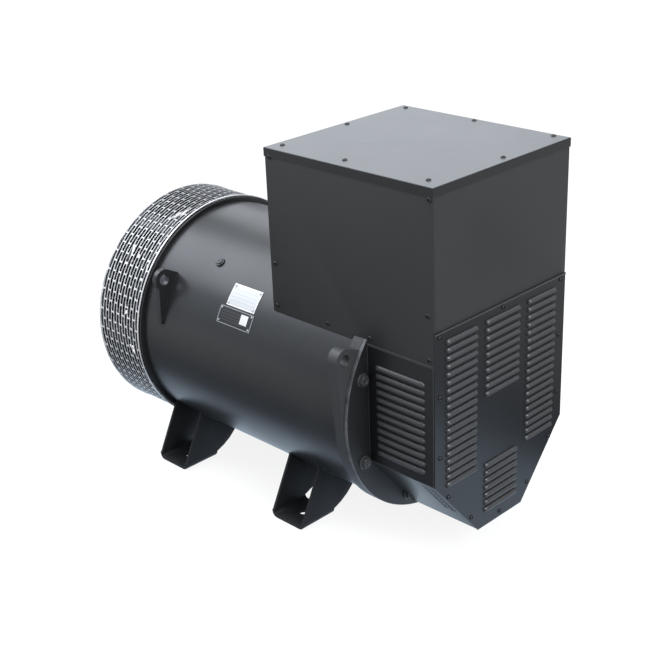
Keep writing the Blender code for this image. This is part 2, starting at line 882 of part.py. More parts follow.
def bearing(frame, rotor, cage):
    outer = bearing_outer_radius
    x = bearing_x
    middle = x + bearing_width / 2
    hub_x = bracket_middle_x - bracket_hub_length / 2
    lip = cartridge_wall / 2
    turned("bearing_cartridge",
           [(hub_x, outer - lip), (hub_x, outer + cartridge_wall),
            (hub_x + bracket_hub_length, outer + cartridge_wall),
            (hub_x + bracket_hub_length, outer + seat), (x - seat, outer + seat),
            (x - seat, outer - lip)],
           bright_steel(), frame, middle_steps)
    track = (outer + bearing_bore_radius) / 2
    groove = ball_radius + race_clearance

    def race(name, land, back, parent):
        """A ring with a round track that keeps a running gap to the balls."""
        depth = abs(track - land)
        reach = sqrt(groove ** 2 - depth ** 2)
        sign = 1 if land > track else -1
        sweep = [(middle + groove * sin(a), track + sign * groove * cos(a))
                 for a in (asin(reach / groove) * (k / 2 - 1) for k in range(5))]
        turned(name, [(x, back), (x, land)] + sweep + [(x + bearing_width, land),
                                                       (x + bearing_width, back)],
               bright_steel(), parent, middle_steps)

    race("bearing_outer_race", outer - race_thickness, outer, frame)
    race("bearing_inner_race", bearing_bore_radius + race_thickness,
         bearing_bore_radius, rotor)
    ring = turned("bearing_balls_and_cage",
                  tube(middle - cage_width / 2, cage_width, track - cage_thickness / 2,
                       track + cage_thickness / 2), bright_steel(), cage, middle_steps)
    balls = []
    for k in range(ball_count):
        turn = tau * k / ball_count
        ball = bmesh.new()
        bmesh.ops.create_uvsphere(ball, u_segments=8, v_segments=4, radius=ball_radius)
        bmesh.ops.translate(ball, verts=ball.verts,
                            vec=(middle, track * cos(turn), track * sin(turn)))
        balls.append(hidden("ball_%d" % k, ball))
    joined(ring, balls, "UNION")
    cap_x = hub_x + bracket_hub_length + seat
    turned("bearing_cap",
           [(cap_x, outer + cartridge_wall), (cap_x + cap_thickness, outer + cartridge_wall),
            (cap_x + cap_thickness, bearing_bore_radius + seat + cap_thickness),
            (cap_x, bearing_bore_radius + seat + cap_thickness)],
           cast_paint(), frame, middle_steps)
    return cap_x + cap_thickness


# Stator

def stator_core(parent):
    loop = []
    pitch = tau / slot_count
    half = pitch * slot_width_share / 2
    for k in range(slot_count):
        middle = pitch * k
        for radius, turn in ((core_bore_radius, middle - half),
                             (core_bore_radius + slot_depth, middle - half),
                             (core_bore_radius + slot_depth, middle + half),
                             (core_bore_radius, middle + half)):
            loop.append((radius * cos(turn), radius * sin(turn)))
    plate("stator_core", [circle(0, 0, core_radius, round_steps), loop], core_x,
          core_x + core_length, facing_x, core_steel(), parent)


def stator_windings(parent):
    """End turns: a rounded ring of coils that leaves the core through a narrower neck."""
    for name, face, way in (("drive_end", core_x - seat, -1),
                            ("non_drive_end", core_x + core_length + seat, 1)):
        neck = winding_reach * winding_neck_share
        tip = winding_reach
        corner = winding_round
        profile = [(0, winding_inner_radius), (0, winding_neck_outer_radius),
                   (neck, winding_outer_radius)]
        profile += [(tip - corner + corner * sin(a), winding_outer_radius - corner
                     + corner * cos(a)) for a in (0, pi / 2)]
        profile += [(tip - corner + corner * cos(a), winding_inner_radius + corner
                     - corner * sin(a)) for a in (0, pi / 2)]
        turned("stator_winding_" + name, [(face + way * x, r) for x, r in profile],
               copper(), parent, middle_steps)


# Rotor

def machine_shaft(parent):
    """Stepped: coupling seat, core seat, bearing seat and exciter tail."""
    hub_end = coupling_x + disc_pack_thickness + seat
    core_start = core_x - shaft_shoulder_length
    core_end = core_x + core_length + shaft_shoulder_length
    bearing_end = bearing_x + bearing_width + shaft_chamfer
    tail_end = cover_x - inlet_depth + shaft_tail_length
    c = shaft_chamfer
    seat_radius = bearing_bore_radius - seat
    profile = [(hub_end, 0), (hub_end, shaft_hub_radius - c), (hub_end + c, shaft_hub_radius),
               (core_start, shaft_hub_radius), (core_start, shaft_radius),
               (core_end, shaft_radius), (bearing_x - c, seat_radius + c),
               (bearing_x - c, seat_radius), (bearing_end, seat_radius),
               (bearing_end, shaft_tail_radius), (tail_end - c, shaft_tail_radius),
               (tail_end, shaft_tail_radius - c), (tail_end, 0)]
    turned("shaft", profile, bright_steel(), parent, small_steps)
    return tail_end


def pole_face_radius():
    return core_bore_radius - air_gap


def rotor_core(parent):
    """Four salient poles with shoes, laminated, around the shaft."""
    face = pole_face_radius()
    neck = face - pole_shoe_thickness
    loop = []
    for k in range(pole_count):
        turn = tau * (k + 0.5) / pole_count
        half = pole_body_half_width
        tip = pole_shoe_half_angle
        shoe_under = face * cos(tip) - pole_shoe_thickness / 2
        points = [(sqrt(pole_root_radius ** 2 - half ** 2), -half), (neck - half / 4, -half),
                  (shoe_under, -face * sin(tip))]
        points += [(face * cos(a), face * sin(a)) for a in
                   (-tip + 2 * tip * i / 10 for i in range(11))]
        points += [(shoe_under, face * sin(tip)), (neck - half / 4, half),
                   (sqrt(pole_root_radius ** 2 - half ** 2), half)]
        loop += [(u * cos(turn) - v * sin(turn), u * sin(turn) + v * cos(turn))
                 for u, v in points]
    plate("rotor_core", [loop, circle(0, 0, shaft_radius + seat, small_steps)], core_x,
          core_x + core_length, facing_x, core_steel(), parent)


def field_coils(parent):
    """A rounded rectangular coil around each pole body, held out to the shoe."""
    gap = coil_clearance
    inner_half = pole_body_half_width + gap
    outer_half = inner_half + coil_width
    length_in = core_length / 2 + gap
    length_out = length_in + coil_end_reach
    low = sqrt(pole_root_radius ** 2 - pole_body_half_width ** 2) + coil_width * coil_seat_share
    face = pole_face_radius()
    shoe_under = face * cos(pole_shoe_half_angle) - pole_shoe_thickness / 2
    neck = face - pole_shoe_thickness - pole_body_half_width / 4
    rise = (neck - shoe_under) / (face * sin(pole_shoe_half_angle) - pole_body_half_width)
    high = shoe_under + rise * (face * sin(pole_shoe_half_angle) - outer_half) - 2 * gap

    def rounded(half_u, half_v, radius):
        loop = []
        for cu, cv, start in ((half_u - radius, half_v - radius, 0),
                              (radius - half_u, half_v - radius, pi / 2),
                              (radius - half_u, radius - half_v, pi),
                              (half_u - radius, radius - half_v, 3 * pi / 2)):
            loop += [(cu + radius * cos(start + pi / 2 * k / 3),
                      cv + radius * sin(start + pi / 2 * k / 3)) for k in range(4)]
        return loop

    middle = core_x + core_length / 2
    outer = rounded(length_out, outer_half, coil_end_reach * coil_corner_share)
    inner = rounded(length_in, inner_half, gap * 3)
    for k in range(pole_count):
        turn = tau * (k + 0.5) / pole_count

        def place(u, v, w, turn=turn):
            return (middle + u, w * cos(turn) - v * sin(turn), w * sin(turn) + v * cos(turn))

        plate("field_coil_%d" % (k + 1), [outer, inner], low, high, place, copper(), parent)
    return outer_half


def coil_wedges(parent, outer_half):
    """V-shaped supports between neighbouring coils, that stop them spreading."""
    length = wedge_thickness * 3
    middle = core_x + core_length / 2
    gap = coil_clearance / 2
    # the corner between two coils, seen along a diagonal between two poles
    apex = (outer_half + gap) * sqrt(2)
    for k in range(pole_count):
        turn = tau * k / pole_count
        top = min(apex + wedge_thickness * wedge_depth_share,
                  pole_face_radius() * wedge_limit_share)
        spread = top - apex
        points = [(apex, 0), (top, -spread), (top + spread * wedge_crown_share, 0), (top, spread)]
        loop = [(u * cos(turn) - v * sin(turn), u * sin(turn) + v * cos(turn))
                for u, v in points]
        plate("coil_wedge_%d" % (k + 1), [loop], middle - length / 2, middle + length / 2,
              facing_x, aluminium(), parent)


def cooling_fan(parent):
    """A cast centrifugal fan: backplate, hub and leaning blades that draw through the machine."""
    x = fan_x
    bore = shaft_hub_radius + seat
    disc = turned("cooling_fan",
                  [(x, bore), (x, fan_radius), (x + fan_disc_thickness, fan_radius),
                   (x + fan_disc_thickness, fan_hub_radius), (x + fan_depth, fan_hub_radius
                                                              - fan_disc_thickness),
                   (x + fan_depth, bore)], aluminium(), parent, middle_steps)
    blades = []
    for k in range(fan_blade_count):
        turn = tau * k / fan_blade_count
        lean = fan_blade_lean
        outer = fan_radius - fan_disc_thickness
        inner = fan_eye_radius * fan_blade_root_share
        half = fan_blade_thickness / 2
        side = [(inner, x + fan_disc_thickness / 2), (outer, x + fan_disc_thickness / 2),
                (outer, x + fan_depth), (fan_eye_radius, x + fan_depth),
                (inner, x + fan_depth * fan_blade_throat_share)]

        def place(u, v, w, turn=turn, lean=lean):
            swing = turn + lean * (u - fan_eye_radius) / fan_radius
            return (v, u * cos(swing) - w * sin(swing), u * sin(swing) + w * cos(swing))

        blades.append(hidden("blade_%d" % k, plate_mesh([side], -half, half, place)))
    return joined(disc, blades, "UNION")


def coupling(parent):
    """A hub shrunk on the shaft, the flexible disc pack and the clamp ring before it."""
    disc_x = coupling_x
    flange_x = disc_x + disc_pack_thickness + seat
    bore = shaft_hub_radius + seat
    turned("coupling_hub",
           [(flange_x, bore), (flange_x, hub_flange_radius),
            (flange_x + hub_flange_thickness, hub_flange_radius),
            (flange_x + hub_flange_thickness, hub_radius),
            (fan_x - seat, hub_radius), (fan_x - seat, bore)], cast_paint(), parent, middle_steps)
    outer = holes_on_circle(disc_bolt_count, disc_bolt_circle_radius, disc_bolt_radius,
                            hole_steps)
    plate("coupling_discs", [circle(0, 0, disc_radius, round_steps),
                             circle(0, 0, disc_pack_bore_radius, small_steps)] + outer,
          disc_x, disc_x + disc_pack_thickness, facing_x, bright_steel(), parent)


# Exciter, rectifier and pilot exciter behind the inlet cover

def toothed(outer, inner, depth, count, share, inward):
    """A ring outline whose teeth point inward or outward."""
    loop = []
    pitch = tau / count
    half = pitch * share / 2
    base = inner + depth if inward else outer - depth
    tip = inner if inward else outer
    for k in range(count):
        middle = pitch * k
        loop += [(tip * cos(middle - half), tip * sin(middle - half)),
                 (tip * cos(middle), tip * sin(middle)),
                 (tip * cos(middle + half), tip * sin(middle + half)),
                 (base * cos(middle + half), base * sin(middle + half)),
                 (base * cos(middle + pitch - half), base * sin(middle + pitch - half))]
    return loop


def exciter(frame, rotor, cap_x):
    x = cap_x + exciter_gap_to_cap
    bore = exciter_armature_radius + exciter_air_gap
    stator = plate_mesh([circle(0, 0, exciter_stator_radius, middle_steps),
                         toothed(0, bore, exciter_pole_depth, exciter_pole_count,
                                 exciter_pole_share, True)], x, x + exciter_width, facing_x)
    thing = finish("exciter_stator", stator, core_steel(), frame)
    legs = []
    leg_low = exciter_stator_radius - exciter_standoff_width * exciter_standoff_bite_share
    for k in range(bracket_arm_count):
        turn = tau * (k + 0.5) / bracket_arm_count
        half = exciter_standoff_width / 2
        corners = [(leg_low, -half), (leg_low + exciter_standoff_width, -half),
                   (leg_low + exciter_standoff_width, half), (leg_low, half)]
        loop = [(u * cos(turn) - v * sin(turn), u * sin(turn) + v * cos(turn))
                for u, v in corners]
        legs.append(hidden("exciter_leg_%d" % k, plate_mesh(
            [loop], bracket_arm_face_x + seat, x + exciter_width / 2, facing_x)))
    joined(thing, legs, "UNION")
    armature = plate_mesh([circle(0, 0, exciter_armature_radius, middle_steps),
                           circle(0, 0, shaft_tail_radius + sleeve_wall + seat, small_steps)],
                          x, x + exciter_width, facing_x)
    finish("exciter_armature", armature, core_steel(), rotor)
    turned("exciter_sleeve", tube(x - sleeve_wall, exciter_width + sleeve_wall + rectifier_gap,
                                  shaft_tail_radius + seat, shaft_tail_radius + sleeve_wall),
           bright_steel(), rotor, small_steps)
    plate_x = x + exciter_width + rectifier_gap + seat
    for name, side in (("positive", 1), ("negative", -1)):
        inner = shaft_tail_radius + seat
        half = rectifier_split / 2
        start = asin(half / rectifier_radius)
        start_in = asin(half / inner)
        loop = (arc(rectifier_radius, start, pi - start, 16)
                + list(reversed(arc(inner, start_in, pi - start_in, 10))))
        if side < 0:
            loop = [(-u, -v) for u, v in loop]
        disc = plate_mesh([loop], plate_x, plate_x + rectifier_thickness, facing_x)
        body = finish("rectifier_plate_" + name, disc, aluminium(), rotor)
        diodes = []
        for k in range(diode_count):
            turn = pi * (k + 0.5) / diode_count + (0 if side > 0 else pi)
            diodes.append(hidden("diode_%s_%d" % (name, k), plate_mesh(
                [circle(diode_circle_radius * cos(turn), diode_circle_radius * sin(turn),
                        diode_radius, 6)],
                plate_x + rectifier_thickness / 2,
                plate_x + rectifier_thickness + diode_height, facing_x)))
        joined(body, diodes, "UNION")


def pilot_exciter(frame, rotor, start_x, tail_x):
    x = tail_x - pilot_width
    plate("pilot_exciter_magnets",
          [circle(0, 0, pilot_rotor_radius, middle_steps),
           circle(0, 0, shaft_tail_radius + seat, small_steps)],
          x, x + pilot_width, facing_x, plastic(), rotor)
    bore = pilot_rotor_radius + pilot_air_gap
    stator = plate_mesh([circle(0, 0, pilot_stator_radius, middle_steps),
                         toothed(0, bore, pilot_tooth_depth, pilot_tooth_count,
                                 exciter_pole_share, True)], x, x + pilot_width, facing_x)
    thing = finish("pilot_exciter_stator", stator, core_steel(), frame)
    arms = []
    reach = exciter_stator_radius
    for k in range(pilot_arm_count):
        turn = tau * k / pilot_arm_count + pi / 6
        half = pilot_arm_width / 2
        corners = [(pilot_stator_radius - pilot_arm_thickness, -half), (reach, -half),
                   (reach, half), (pilot_stator_radius - pilot_arm_thickness, half)]
        loop = [(u * cos(turn) - v * sin(turn), u * sin(turn) + v * cos(turn))
                for u, v in corners]
        back = x + pilot_width - pilot_arm_thickness
        arms.append(hidden("pilot_arm_%d" % k, plate_mesh(
            [loop], back - pilot_arm_thickness, back, facing_x)))
        low, high = reach - pilot_arm_thickness * 2, reach - pilot_arm_thickness / 2
        half *= pilot_post_share
        post = [(low, -half), (high, -half), (high, half), (low, half)]
        loop = [(u * cos(turn) - v * sin(turn), u * sin(turn) + v * cos(turn))
                for u, v in post]
        arms.append(hidden("pilot_post_%d" % k, plate_mesh(
            [loop], start_x, back - pilot_arm_thickness / 2, facing_x)))
    joined(thing, arms, "UNION")


# Terminal box

def barrel_line(half, radius):
    return sqrt(radius ** 2 - half ** 2)


def terminal_box_frame(parent):
    """Floor tray, four corner posts and a top rail, welded into one frame."""
    inset = sheet + seat
    half = half_width - inset
    x0, x1 = box_back_x + inset, box_x - inset
    top = box_top - sheet - seat
    floor = plate_mesh([[(x0, -half), (x1, -half), (x1, half), (x0, half)],
                        circle(lead_window_x, 0, lead_hole_radius, 24)],
                       box_floor - sheet * 2, box_floor, facing_z)
    thing = finish("terminal_box_frame", floor, black_paint(), parent)
    extra = []
    wall = sheet * 2
    for ux, x in ((1, x0), (-1, x1)):
        for uy, y in ((1, -half), (-1, half)):
            outline = [(0, 0), (box_post, 0), (box_post, wall), (wall, wall), (wall, box_post),
                       (0, box_post)]
            loop = [(x + ux * u, y + uy * v) for u, v in outline]
            low = box_bottom + barrel_post_lift() if ux > 0 else box_bottom
            extra.append(hidden("post", plate_mesh([loop], low, top - wall / 2, facing_z)))
    rail = plate_mesh([[(x0, -half), (x1, -half), (x1, half), (x0, half)],
                       [(x0 + box_rail, -half + box_rail), (x1 - box_rail, -half + box_rail),
                        (x1 - box_rail, half - box_rail), (x0 + box_rail, half - box_rail)]],
                      top - wall, top, facing_z)
    extra.append(hidden("rail", rail))
    return joined(thing, extra, "UNION")


def barrel_post_lift():
    """How far the rear posts stop above the box bottom to clear the barrel."""
    inner = half_width - sheet - seat - box_post
    return barrel_line(inner, barrel_radius) + seat - box_bottom


def side_panels(parent):
    """Side covers, notched over the bracket and end ring that stand out of the barrel."""
    x0, x1 = box_back_x, box_x
    top = box_top - sheet - seat
    notch = barrel_line(half_width - sheet, end_ring_radius) + ring_notch_clearance
    ring0, ring1 = end_ring_x - ring_notch_clearance, bracket_face_x + ring_notch_clearance
    loop = [(x0, box_bottom), (ring0, box_bottom), (ring0, notch), (ring1, notch),
            (ring1, box_bottom), (x1, box_bottom), (x1, top), (x0, top)]
    for name, low in (("left", -half_width), ("right", half_width - sheet)):
        plate("terminal_box_side_" + name, [loop], low, low + sheet, facing_y,
              textured_paint(), parent)


def end_panel(parent):
    """The plain face above the louvres, cut out where the inlet plate covers it."""
    half = half_width - sheet - seat
    top = box_top - sheet - seat
    window_top = inlet_plate_top - inlet_return
    window_half = half - box_post
    loop = [(-half, box_bottom), (-window_half, box_bottom), (-window_half, window_top),
            (window_half, window_top), (window_half, box_bottom), (half, box_bottom),
            (half, top), (-half, top)]
    plate("terminal_box_end_panel", [loop], box_x - sheet, box_x, facing_x, textured_paint(),
          parent)


def rear_panel(parent):
    """The drive-end face, arched over the barrel, with the window for the gland plate."""
    half = half_width - sheet - seat
    top = box_top - sheet - seat
    reach = barrel_radius + 2 * seat
    start = atan2(barrel_line(half, reach), half)
    arch = arc(reach, start, pi - start, small_steps)
    low = box_floor + gland_window_above_floor
    window = [(-gland_window_width / 2, low), (gland_window_width / 2, low),
              (gland_window_width / 2, low + gland_window_height),
              (-gland_window_width / 2, low + gland_window_height)]
    loop = [(half, top), (-half, top)] + list(reversed(arch))
    plate("terminal_box_rear_panel", [loop, window], box_back_x, box_back_x + sheet, facing_x,
          textured_paint(), parent)
    margin = gland_plate_margin
    cover = [(-gland_window_width / 2 - margin, low - margin),
             (gland_window_width / 2 + margin, low - margin),
             (gland_window_width / 2 + margin, low + gland_window_height + margin),
             (-gland_window_width / 2 - margin, low + gland_window_height + margin)]
    plate("gland_plate", [cover], box_back_x - seat - gland_plate_thickness, box_back_x - seat,
          facing_x, aluminium(), parent)


def terminal_box_lid(parent):
    """A folded lid with a shallow cross break that lifts its middle."""
    mesh = bmesh.new()
    lap = sheet + seat
    x0, x1 = box_back_x - lap, box_x + lap
    half = half_width + lap
    bottom = box_top - lid_skirt
    middle = (x0 + x1) / 2

    def ring(inset, z):
        return [mesh.verts.new(p) for p in (
            (x0 + inset, -half + inset, z), (x1 - inset, -half + inset, z),
            (x1 - inset, half - inset, z), (x0 + inset, half - inset, z))]

    outer_low, outer_top = ring(0, bottom), ring(0, box_top)
    inner_low, inner_top = ring(sheet, bottom), ring(sheet, box_top - sheet)
    peak = mesh.verts.new((middle, 0, box_top + lid_rise))
    under = mesh.verts.new((middle, 0, box_top + lid_rise - sheet))
    for k in range(4):
        n = (k + 1) % 4
        mesh.faces.new((outer_low[k], outer_low[n], outer_top[n], outer_top[k]))
        mesh.faces.new((inner_low[n], inner_low[k], inner_top[k], inner_top[n]))
        mesh.faces.new((outer_low[n], outer_low[k], inner_low[k], inner_low[n]))
        mesh.faces.new((outer_top[k], outer_top[n], peak))
        mesh.faces.new((inner_top[n], inner_top[k], under))
    return finish("terminal_box_lid", mesh, textured_paint(), parent, radians(1))


def terminal_board(parent):
    """An insulating board on two feet with a row of studs for the mains leads."""
    x = box_back_x + box_rail + tray_space * board_gap_share + board_width / 2
    z = box_floor + seat
    low = (x - board_width / 2, -board_length / 2, z + board_feet_height)
    high = (x + board_width / 2, board_length / 2, z + board_feet_height + board_thickness)
    board = finish("terminal_board", block_mesh(low, high), insulation(), parent)
    extra = []
    for y in (low[1], high[1] - board_thickness):
        extra.append(hidden("board_foot", block_mesh(
            (low[0], y, z), (high[0], y + board_thickness, z + board_feet_height
                             + board_thickness / 2))))
    joined(board, extra, "UNION")
    studs = []
    for k in range(stud_count):
        row, column = k % 2, k // 2
        u = x + (row - 0.5) * board_width / 2
        v = (column - 1) * board_length / 3
        top = high[2] + stud_height
        studs.append(hidden("stud", plate_mesh([circle(u, v, stud_radius, 8)],
                                               high[2] - board_thickness / 2, top, facing_z)))
    joined(board, studs, "UNION")


def current_transformers(parent):
    x = (box_back_x + box_rail + board_width
         + tray_space * (board_gap_share + transformer_gap_share))
    z = box_floor + seat
    side = transformer_side
    for k in range(transformer_count):
        y = (k - (transformer_count - 1) / 2) * transformer_pitch
        outline = [(y - side / 2, z), (y + side / 2, z), (y + side / 2, z + side),
                   (y - side / 2, z + side)]
        plate("current_transformer_%d" % (k + 1),
              [outline, circle(y, z + side / 2, transformer_hole_radius, 16)],
              x, x + transformer_depth, facing_x, plastic(), parent)


def voltage_regulator(parent):
    """A potted regulator with cooling fins, on the floor beside the end panel."""
    x = box_x - box_rail - regulator_width
    z = box_floor + seat
    half = regulator_length / 2
    pitch = regulator_length / regulator_fin_count
    top = z + regulator_height
    profile = [(half, z), (half, top)]
    for k in range(regulator_fin_count):
        right = half - pitch * k
        fin = pitch * regulator_fin_share
        profile += [(right, top + regulator_fin_height), (right - fin, top + regulator_fin_height),
                    (right - fin, top), (right - pitch, top)]
    profile = [profile[0]] + profile[2:] + [(-half, z)]
    plate("voltage_regulator", [profile], x, x + regulator_width, facing_x, aluminium(), parent)


# Air inlet cover

def louvre_mesh(outline, louvres, face, place):
    """A sheet whose outer side lies at w = face, lanced and pushed out into hoods that open
    downward. Each louvre is (middle u, lower v, length)."""
    mesh = bmesh.new()
    t = sheet
    out, back = [], []
    holes_out, holes_back = [], []
    hoods = []
    for u, v, length in louvres:
        left, right = u - length / 2, u + length / 2
        top = v + louvre_height
        holes_out.append([(left, top), (right, top), (right, v), (right - t, v),
                          (left + t, v), (left, v)])
        holes_back.append([(left + t, top), (right - t, top), (right - t, v), (left + t, v)])
        hoods.append((left, right, v, top))
    for loops, level, store in (([outline] + holes_out, face, out),
                                ([outline] + holes_back, face - t, back)):
        for loop in loops:
            store.append([mesh.verts.new(place(u, v, level)) for u, v in loop])
        flat = [vert for loop in store for vert in loop]
        for triangle in fill(loops):
            mesh.faces.new([flat[i] for i in triangle])
    count = len(outline)
    for k in range(count):
        n = (k + 1) % count
        mesh.faces.new((out[0][k], out[0][n], back[0][n], back[0][k]))
    for (left, right, v, top), edge, rim in zip(hoods, out[1:], back[1:]):
        slope = louvre_end_slope
        knee = v + louvre_height * louvre_shoulder_share
        rise = louvre_rise

        def point(u, z, w):
            return mesh.verts.new(place(u, z, face + w))

        shoulder = [point(left + slope / 2, knee, rise * louvre_knee_rise_share),
                    point(right - slope / 2, knee, rise * louvre_knee_rise_share)]
        lip = [point(left + slope, v, rise), point(right - slope, v, rise)]
        inner_lip = [point(left + slope + t, v, rise - t), point(right - slope - t, v, rise - t)]
        top_left, top_right, low_right, cut_right, cut_left, low_left = edge
        rim_left, rim_right, rim_low_right, rim_low_left = rim
        mesh.faces.new((top_left, top_right, shoulder[1], shoulder[0]))
        mesh.faces.new((shoulder[0], shoulder[1], lip[1], lip[0]))
        mesh.faces.new((top_left, shoulder[0], lip[0], low_left))
        mesh.faces.new((top_right, low_right, lip[1], shoulder[1]))
        mesh.faces.new((lip[0], lip[1], inner_lip[1], inner_lip[0]))
        mesh.faces.new((lip[0], inner_lip[0], cut_left, low_left))
        mesh.faces.new((lip[1], low_right, cut_right, inner_lip[1]))
        mesh.faces.new((rim_left, inner_lip[0], inner_lip[1], rim_right))
        mesh.faces.new((rim_left, rim_low_left, cut_left, inner_lip[0]))
        mesh.faces.new((rim_right, inner_lip[1], cut_right, rim_low_right))
        mesh.faces.new((cut_left, cut_right, rim_low_right, rim_low_left))
    bmesh.ops.triangulate(mesh, faces=[f for f in mesh.faces if len(f.verts) > 4])
    return mesh


def inlet_end_plate(parent):
    """The end louvre plate: two full columns and a middle one with a blank square in it."""
    louvres = []
    for k in range(louvre_column_count):
        v = louvre_top - louvre_pitch * k - louvre_height / 2
        for side in (-1, 1):
            louvres.append((side * louvre_column_offset, v, louvre_side_length))
    for k in range(louvre_upper_count):
        louvres.append((0, louvre_top - louvre_pitch * k - louvre_height / 2,
                        louvre_middle_length))
    for k in range(louvre_lower_count):
        louvres.append((0, louvre_lower_start - louvre_pitch * k - louvre_height / 2,
                        louvre_middle_length))
    edge = half_width
    outline = [(-inlet_base_half_width, inlet_base - sheet), (inlet_base_half_width, inlet_base
                                                              - sheet),
               (edge, inlet_shoulder), (edge, inlet_plate_top), (-edge, inlet_plate_top),
               (-edge, inlet_shoulder)]
    mesh = louvre_mesh(outline, louvres, cover_x, facing_x)
    return finish("inlet_end_plate", mesh, textured_paint(), parent)


def inlet_side_panels(parent):
    x0, x1 = bracket_face_x + seat, box_x - seat
    middle = (x0 + x1) / 2
    top = box_bottom - seat
    louvres = [(middle, top - louvre_panel_first_drop - louvre_pitch * k - louvre_height,
                louvre_panel_length) for k in range(louvre_panel_count)]
    outline = [(x0, inlet_shoulder + seat), (x1, inlet_shoulder + seat), (x1, top), (x0, top)]
    for name, side in (("left", -1), ("right", 1)):

        def place(u, v, w, side=side):
            return (u, side * w, v)

        mesh = louvre_mesh(outline, louvres, half_width, place)
        finish("inlet_side_panel_" + name, mesh, textured_paint(), parent)


def inlet_trough(parent):
    """The folded lower part of the inlet: two slanted flanks and a base, with returns."""
    x0, x1 = bracket_face_x + seat, cover_x - sheet - seat
    t = sheet
    w, b = half_width, inlet_base_half_width
    slant = hypot(w - b, inlet_shoulder - inlet_base)
    base = inlet_base
    shift = t * (slant - (w - b)) / (inlet_shoulder - base)
    top = inlet_shoulder
    lift = inlet_return
    right = [(w, top), (w - t - seat, top), (w - t - seat, top + lift),
             (w - 2 * t - seat, top + lift)]
    inner_knee = (w - 2 * t - seat, top + (t + seat) * inlet_fold_share)
    inner_base = (b - shift, base + t)
    outer = [(-b, base), (b, base)] + right
    inner = [inner_knee, inner_base, (-inner_base[0], inner_base[1]),
             (-inner_knee[0], inner_knee[1])]
    left = [(-u, v) for u, v in reversed(right)]
    loop = outer + inner + left
    plate("inlet_trough", [loop], x0, x1, facing_x, textured_paint(), parent)


def rating_plate(parent):
    """A thin plate curved to the barrel."""
    inner = (barrel_radius + seat)
    steps = 8
    low, high = plate_angle_low, plate_angle_high
    outer = [(-(inner + plate_thickness) * cos(low + (high - low) * k / steps),
              (inner + plate_thickness) * sin(low + (high - low) * k / steps))
             for k in range(steps + 1)]
    under = [(-inner * cos(high - (high - low) * k / steps),
              inner * sin(high - (high - low) * k / steps)) for k in range(steps + 1)]
    x1 = end_ring_x - plate_from_end_ring
    plate("rating_plate", [outer + under], x1 - plate_length, x1, facing_x, label(), parent)


def build():
    clear_scene()
    frame = empty("frame_line", (0, 0, shaft_height))
    rotor = empty("rotor_axis", (0, 0, shaft_height))
    cage = empty("cage_axis", (0, 0, shaft_height))
    frame_barrel(frame)
    drive_end_ring(frame)
    drive_end_ears(frame)
    non_drive_end_ring(frame)
    feet(frame)
    drive_end_adaptor(frame)
    outlet_screen(frame)
    nde_bracket(frame)
    cap_x = bearing(frame, rotor, cage)
    stator_core(frame)
    stator_windings(frame)
    tail_x = machine_shaft(rotor)
    rotor_core(rotor)
    coil = field_coils(rotor)
    coil_wedges(rotor, coil)
    cooling_fan(rotor)
    coupling(rotor)
    exciter(frame, rotor, cap_x)
    pilot_exciter(frame, rotor, cap_x + exciter_gap_to_cap + exciter_width + seat, tail_x)
    terminal_box_frame(frame)
    side_panels(frame)
    end_panel(frame)
    rear_panel(frame)
    terminal_box_lid(frame)
    terminal_board(frame)
    current_transformers(frame)
    voltage_regulator(frame)
    inlet_end_plate(frame)
    inlet_side_panels(frame)
    inlet_trough(frame)
    rating_plate(frame)


build()
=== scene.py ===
# %% [markdown]
# An alternator head for a generating set: a rolled steel barrel, a tall sheet-metal
# terminal box, a louvred air inlet at one end and a slotted outlet screen at the other.
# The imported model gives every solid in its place. This lesson dresses it: it makes the
# camera and the light, mixes the finishes, and adds the small repeated pieces.

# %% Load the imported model
import json
from math import acos, asin, atan2, cos, hypot, pi, radians, sin, tau

import bmesh
import bpy
from mathutils import Matrix, Vector
from mathutils.geometry import tessellate_polygon


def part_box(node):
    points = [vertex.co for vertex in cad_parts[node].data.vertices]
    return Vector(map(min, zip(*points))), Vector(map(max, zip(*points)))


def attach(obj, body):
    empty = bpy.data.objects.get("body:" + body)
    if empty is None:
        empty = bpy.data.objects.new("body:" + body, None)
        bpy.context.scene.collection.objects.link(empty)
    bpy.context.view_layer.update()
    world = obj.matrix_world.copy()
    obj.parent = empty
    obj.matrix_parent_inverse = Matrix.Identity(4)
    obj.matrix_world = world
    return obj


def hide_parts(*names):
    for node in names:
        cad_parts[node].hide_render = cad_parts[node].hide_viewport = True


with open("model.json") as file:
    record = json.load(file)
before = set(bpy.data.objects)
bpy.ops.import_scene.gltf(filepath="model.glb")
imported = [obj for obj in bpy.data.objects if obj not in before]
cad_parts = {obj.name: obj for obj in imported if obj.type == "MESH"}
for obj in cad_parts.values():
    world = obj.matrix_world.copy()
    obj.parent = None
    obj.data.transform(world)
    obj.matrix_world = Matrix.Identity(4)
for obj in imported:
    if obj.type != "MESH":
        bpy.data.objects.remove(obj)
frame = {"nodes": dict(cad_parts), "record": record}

scene = bpy.context.scene
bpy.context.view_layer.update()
nodes = frame["nodes"]
print("loaded", len(nodes), "solids")

# %% [markdown]
# The camera is where the photographer stood: level with the top of the box, off its
# near corner, and leaned over by a couple of degrees. Its place comes from measured
# corners, so the model and the picture can be laid over each other.

# %% Camera
view_turn, view_rise, view_lean = 0.799, 0.4116, -0.0425
view_place = Vector((2.2592, -2.1986, 1.7984))
view_lens, film_width = 71.105, 36.0


